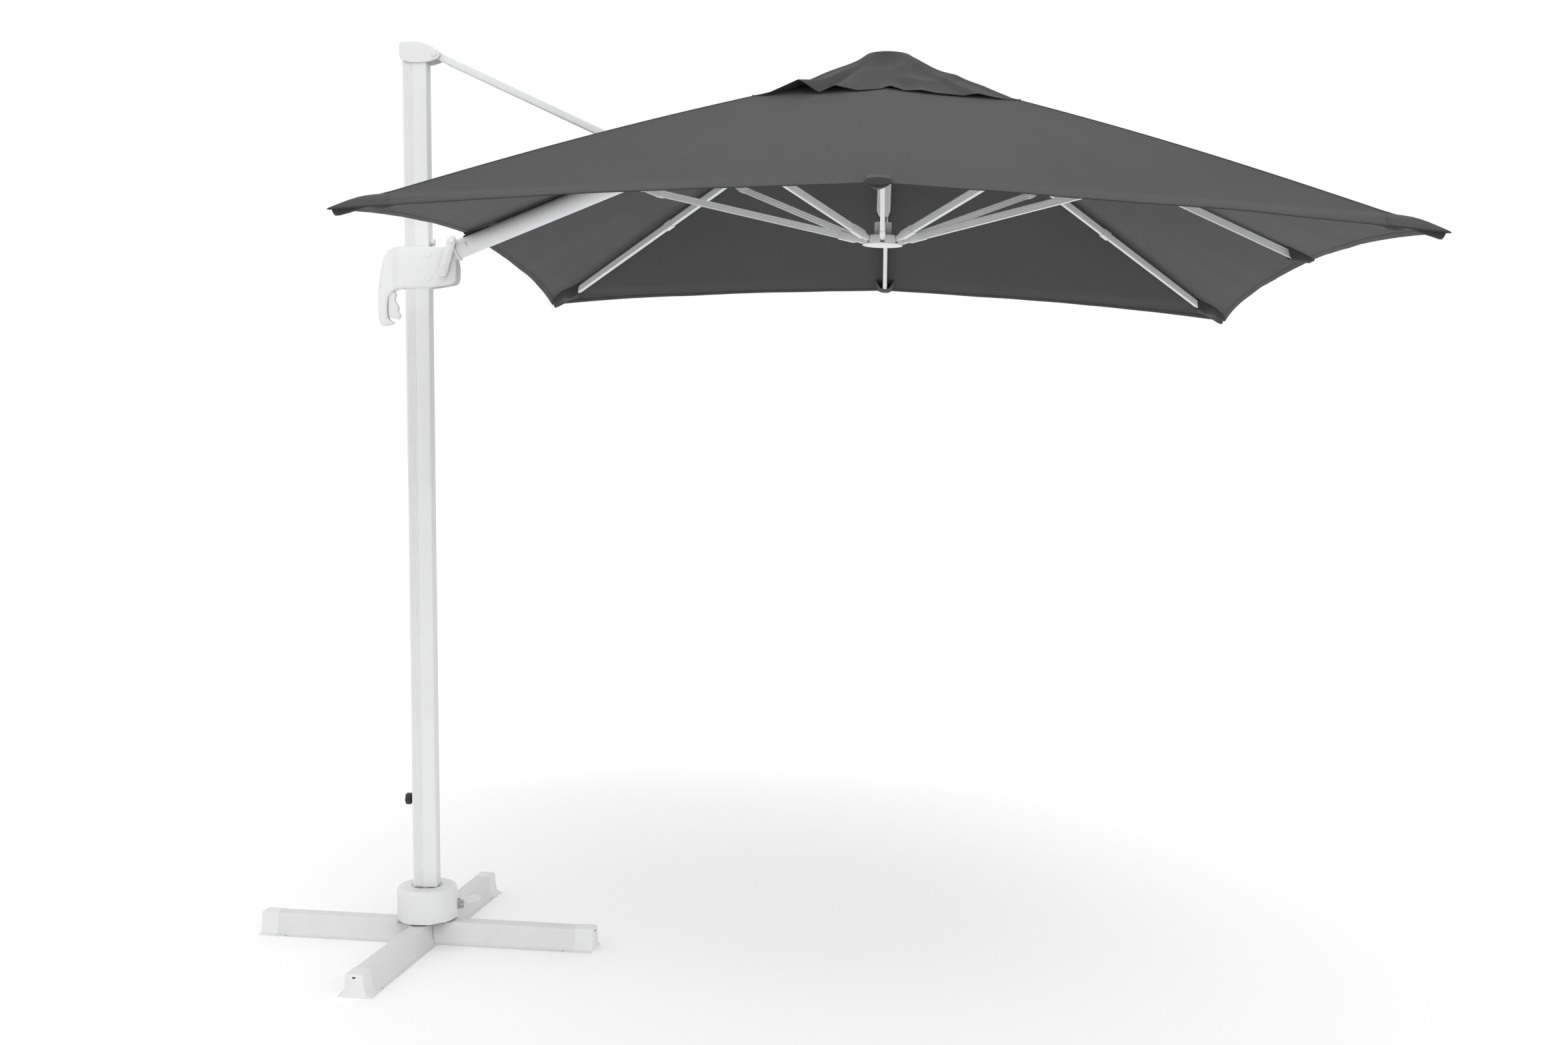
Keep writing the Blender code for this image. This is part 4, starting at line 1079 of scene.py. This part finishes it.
def tie_pieces():
    x = (Q - P).normalized()
    at, link = axes(x, EY, x.cross(EY), P), (Q - P).length
    b = Build(at)
    soft_bar(b, [(0.046, 0.0180, -0.0110, 0.0110, 0.0034), (link - 0.060, 0.0180, -0.0110, 0.0110, 0.0034)])
    b.piece("tie_bar", PAINT, "tie", sharp=30, replaces=("tie_strut",))
    b = Build(at)
    soft_bar(b, [(0.0005, 0.0168, -0.0090, 0.0092, 0.003), (0.020, 0.0168, -0.0100, 0.0100, 0.003),
                 (0.049, 0.0168, -0.0102, 0.0102, 0.003)])
    eye(b, 0, 0, 0.0106, 0.0168)
    for sign in (-1, 1):
        line = [(link - 0.085, -0.0100), (link - 0.020, -0.0088)] + arc((link, 0), 0.0072, -80, 80)
        line += [(link - 0.020, 0.0100), (link - 0.085, 0.0100)]
        b.loft([[(u, sign * y, w) for u, w in line] for y in (0.0126, 0.0188)])
    soft_bar(b, [(link - 0.085, 0.0170, -0.0098, 0.0098, 0.002), (link - 0.034, 0.0170, -0.0098, 0.0098, 0.002)])
    b.piece("tie_ends", PLASTIC, "tie", sharp=35)


def lever_piece():
    at = pos("lever_turn")
    tip = Vector((-0.0285, -0.0970))
    lean = math.degrees(math.atan2(tip.x, tip.y)) + 180  # from straight down, about +16
    line = arc((at.x, at.z), 0.0122, 180 - lean, -lean, 12)
    line += arc((at.x + tip.x, at.z + tip.y), 0.0136, -lean, -180 - lean, 12)
    line = line[::-1]
    b = Build()
    slab(b, line, lambda x, z, d: -0.0502 + rim(d, 0.0050), lambda x, z, d: -0.0376 - rim(d, 0.0012), grid=0.004)
    lathe_y(b, at.x, at.z, -0.0480, -1, [(AX, 0.0), (0.0105, 0.0), (0.0105, 0.0042), (0.0090, 0.0056),
                                         (AX, 0.0060)])
    lathe_y(b, at.x, at.z, -0.0290, -1, [(AX, 0.0), (0.0036, 0.0), (0.0036, 0.012), (AX, 0.012)])
    b.piece("lever_handle", PLASTIC, "lever", sharp=40, replaces=("tilt_lever",))


mast_cap()
tie_pieces()
lever_piece()

# the domed head of the screw that holds the tube in its socket
_b = Build(FB)
lathe_y(_b, 0.096, BOOM_H, -0.0275, -1, [(AX, 0.0), (0.0080, 0.0), (0.0080, 0.0022), (0.0068, 0.0040),
                                         (0.0040, 0.0050), (AX, 0.0054)])
_b.piece("boom_screw", PLASTIC, "boom", sharp=30)

# the boom's pin ends inside the housing, which covers it
_b = Build()
for _s in (-1, 1):
    lathe_y(_b, S.x, S.z, _s * 0.0002, _s, [(AX, 0.0), (0.0050, 0.0), (0.0050, 0.0250), (0.0044, 0.0256),
                                            (AX, 0.0256)])
_b.piece("boom_pin_rod", ZINC, "boom_frame", sharp=40, replaces=("boom_pin",))

# ---- base --------------------------------------------------------------------


def arm_profile(o=0.0):
    """Half of an arm's pressed section, from the flange's edge up to the top,
    o outside the steel."""
    half = [(0.0505 + o, 0.0), (0.0505 + o, 0.0022 + o), (0.0455, 0.0028 + o), (0.0400 + 0.4 * o, 0.0044 + o),
            (0.0352 + 0.7 * o, 0.0082 + 0.7 * o), (0.0318 + o, 0.0135),
            (0.0294 + o, 0.0210), (0.0278 + o, 0.0310), (0.0267 + o, 0.0420), (0.0258 + o, 0.0560)]
    half += [(x + o, z + o) for x, z in arc((0.0198, 0.0620), 0.0058, 8, 90, 6)]
    return half


def arm_ring(o=0.0):
    right = arm_profile(o)
    return right + [(-a, b) for a, b in reversed(right)]


def wall_at(z):
    """Half width of the crossing arm at a height."""
    line = sorted(((b, a) for a, b in arm_profile()), key=lambda v: v[0])
    for (z0, w0), (z1, w1) in zip(line, line[1:]):
        if z0 <= z <= z1 and z1 > z0:
            return w0 + (w1 - w0) * (z - z0) / (z1 - z0)
    return line[-1][1] if z > line[-1][0] else 0.0505


def base_pieces():
    b = Build(FBASE @ Matrix.Rotation(D(90), 4, "Z"))
    b.loft([on_x(arm_ring(), x) for x in (-ARM_L + 0.002, ARM_L - 0.002)])
    b.piece("arm_skin_cross", STEEL, "base", sharp=38, replaces=("base_arm_cross",))
    b = Build(FBASE)
    for s in (-1, 1):
        inner = [(s * (wall_at(c) + 0.0016), a, c) for a, c in arm_ring()]
        b.loft([inner, on_x(arm_ring(), s * (ARM_L - 0.002))])
    b.piece("arm_skin_long", STEEL, "base", sharp=38, replaces=("base_arm_long",))
    # black discs for the flanges' holes and a black bar for the slot at each cap's end: painted shade where the
    # openings are
    dark = Build(FBASE)
    for name, turn in (("right", 0), ("far", 90), ("left", 180), ("near", 270)):
        b = Build(FBASE @ Matrix.Rotation(D(turn), 4, "Z"))
        x0 = ARM_L - 0.046
        b.loft([on_x(arm_ring(o), x) for x, o in (
            (x0, 0.0003), (x0 + 0.0006, 0.0012), (x0 + 0.030, 0.0013), (ARM_L + 0.0085, 0.0013),
            (ARM_L + 0.0108, 0.0005), (ARM_L + 0.0118, -0.0012))])
        b.piece("cap_skin_" + name, PLASTIC, "base", sharp=38, replaces=("end_cap_" + name,))
        spin = Matrix.Rotation(D(turn), 4, "Z")
        # painted shade: the slot at the cap's end and two holes in the flange, drawn as black pieces
        d = Build()
        soft_bar(d, [(ARM_L + 0.0100, 0.0046, 0.0560, 0.0606, 0.0006),
                     (ARM_L + 0.0121, 0.0046, 0.0560, 0.0606, 0.0006)])
        for s in (-1, 1):
            d.lathe([(AX, 0.0026), (0.0024, 0.0026), (0.0024, 0.0034), (AX, 0.0035)], 12,
                    z_axis=Matrix.Translation((0.452, s * 0.0445, 0)))
        dark.add([spin @ Vector(v) for v in d.verts], d.faces)
    dark.piece("base_holes_painted_shade", BLACK, "base", sharp=38)
    # the cover, with a soft shoulder and a shallow well round the mast's foot
    b = Build()
    outer = [(AX, 0.1000), (0.0890, 0.1000), (0.0890, 0.0735), (0.0900, 0.0728), (0.0912, 0.0735),
             (0.0915, 0.0750), (0.0915, 0.1620)]
    outer += [(0.0915 - 0.0115 * (1 - math.cos(D(a))), 0.1634 + 0.0116 * math.sin(D(a))) for a in range(10, 91, 10)]
    outer += [(0.0500, 0.1754), (0.0486, 0.1750), (0.0478, 0.1738), (0.0474, 0.1715), (0.0450, 0.1700),
              (0.0240, 0.1700), (AX, 0.1700)]
    b.lathe(outer, 72)
    b.piece("cover_shell", PLASTIC, "base", sharp=40, replaces=("base_cover",))


base_pieces()

# ---- CAD nodes that stay: soft edges and finishes ---------------------------
SLOTS = {s["node"]: s["material_slot"] for s in frame["record"]["subparts"]}
USUAL_EDGE = 0.0009
EDGE = {"slider_trigger": 0.0022, "foot_pedal": 0.0020, "mast_knob": 0.0012, "base_plate": 0.0006}


def finish_cad(name):
    o = NODES[name]
    if o.hide_render:
        return
    o.data.materials.clear()
    o.data.materials.append(FINISH[SLOTS[name]])
    weld = o.modifiers.new("weld", "WELD")
    weld.merge_threshold = 0.00002
    flat = o.modifiers.new("flat", "DECIMATE")
    flat.decimate_type = "DISSOLVE"
    flat.angle_limit = D(0.6)
    bevel = o.modifiers.new("edge", "BEVEL")
    bevel.width = EDGE.get(name, USUAL_EDGE)
    bevel.segments = 3
    bevel.limit_method = "ANGLE"
    bevel.angle_limit = D(32)
    bevel.harden_normals = False
    o.data.shade_smooth()
    o.data.set_sharp_from_angle(angle=D(30))


for _n in sorted(NODES):
    finish_cad(_n)

# ---- floor, light, camera ----------------------------------------------------


def stage():
    mesh = bpy.data.meshes.new("floor")
    mesh.from_pydata([(-60, -60, 0), (60, -60, 0), (60, 60, 0), (-60, 60, 0)], [], [(0, 1, 2, 3)])
    m, _, b = shader("studio_floor")
    b.inputs["Base Color"].default_value = (0.97, 0.97, 0.97, 1)
    b.inputs["Roughness"].default_value = 0.9
    mesh.materials.append(m)
    o = bpy.data.objects.new("floor", mesh)
    bpy.context.scene.collection.objects.link(o)
    world = bpy.data.worlds.new("studio")
    world.use_nodes = True
    world.node_tree.nodes["Background"].inputs["Color"].default_value = (1, 1, 1, 1)
    world.node_tree.nodes["Background"].inputs["Strength"].default_value = 1.0
    bpy.context.scene.world = world
    sun = bpy.data.lights.new("key", "SUN")
    sun.energy, sun.angle = 0.9, D(50)
    key = bpy.data.objects.new("key", sun)
    key.rotation_euler = (D(48), 0, D(28))
    bpy.context.scene.collection.objects.link(key)
    bpy.context.scene.view_settings.view_transform = "Standard"


def camera():
    data = bpy.data.cameras.new("camera")
    data.sensor_width, data.lens = 36.0, 38.35
    data.clip_end = 200
    o = bpy.data.objects.new("camera", data)
    o.location = (1.416, -5.055, 1.6155)
    o.rotation_euler = (D(90 - 3.458), 0, D(3.412))
    bpy.context.scene.collection.objects.link(o)
    bpy.context.scene.camera = o


stage()
camera()
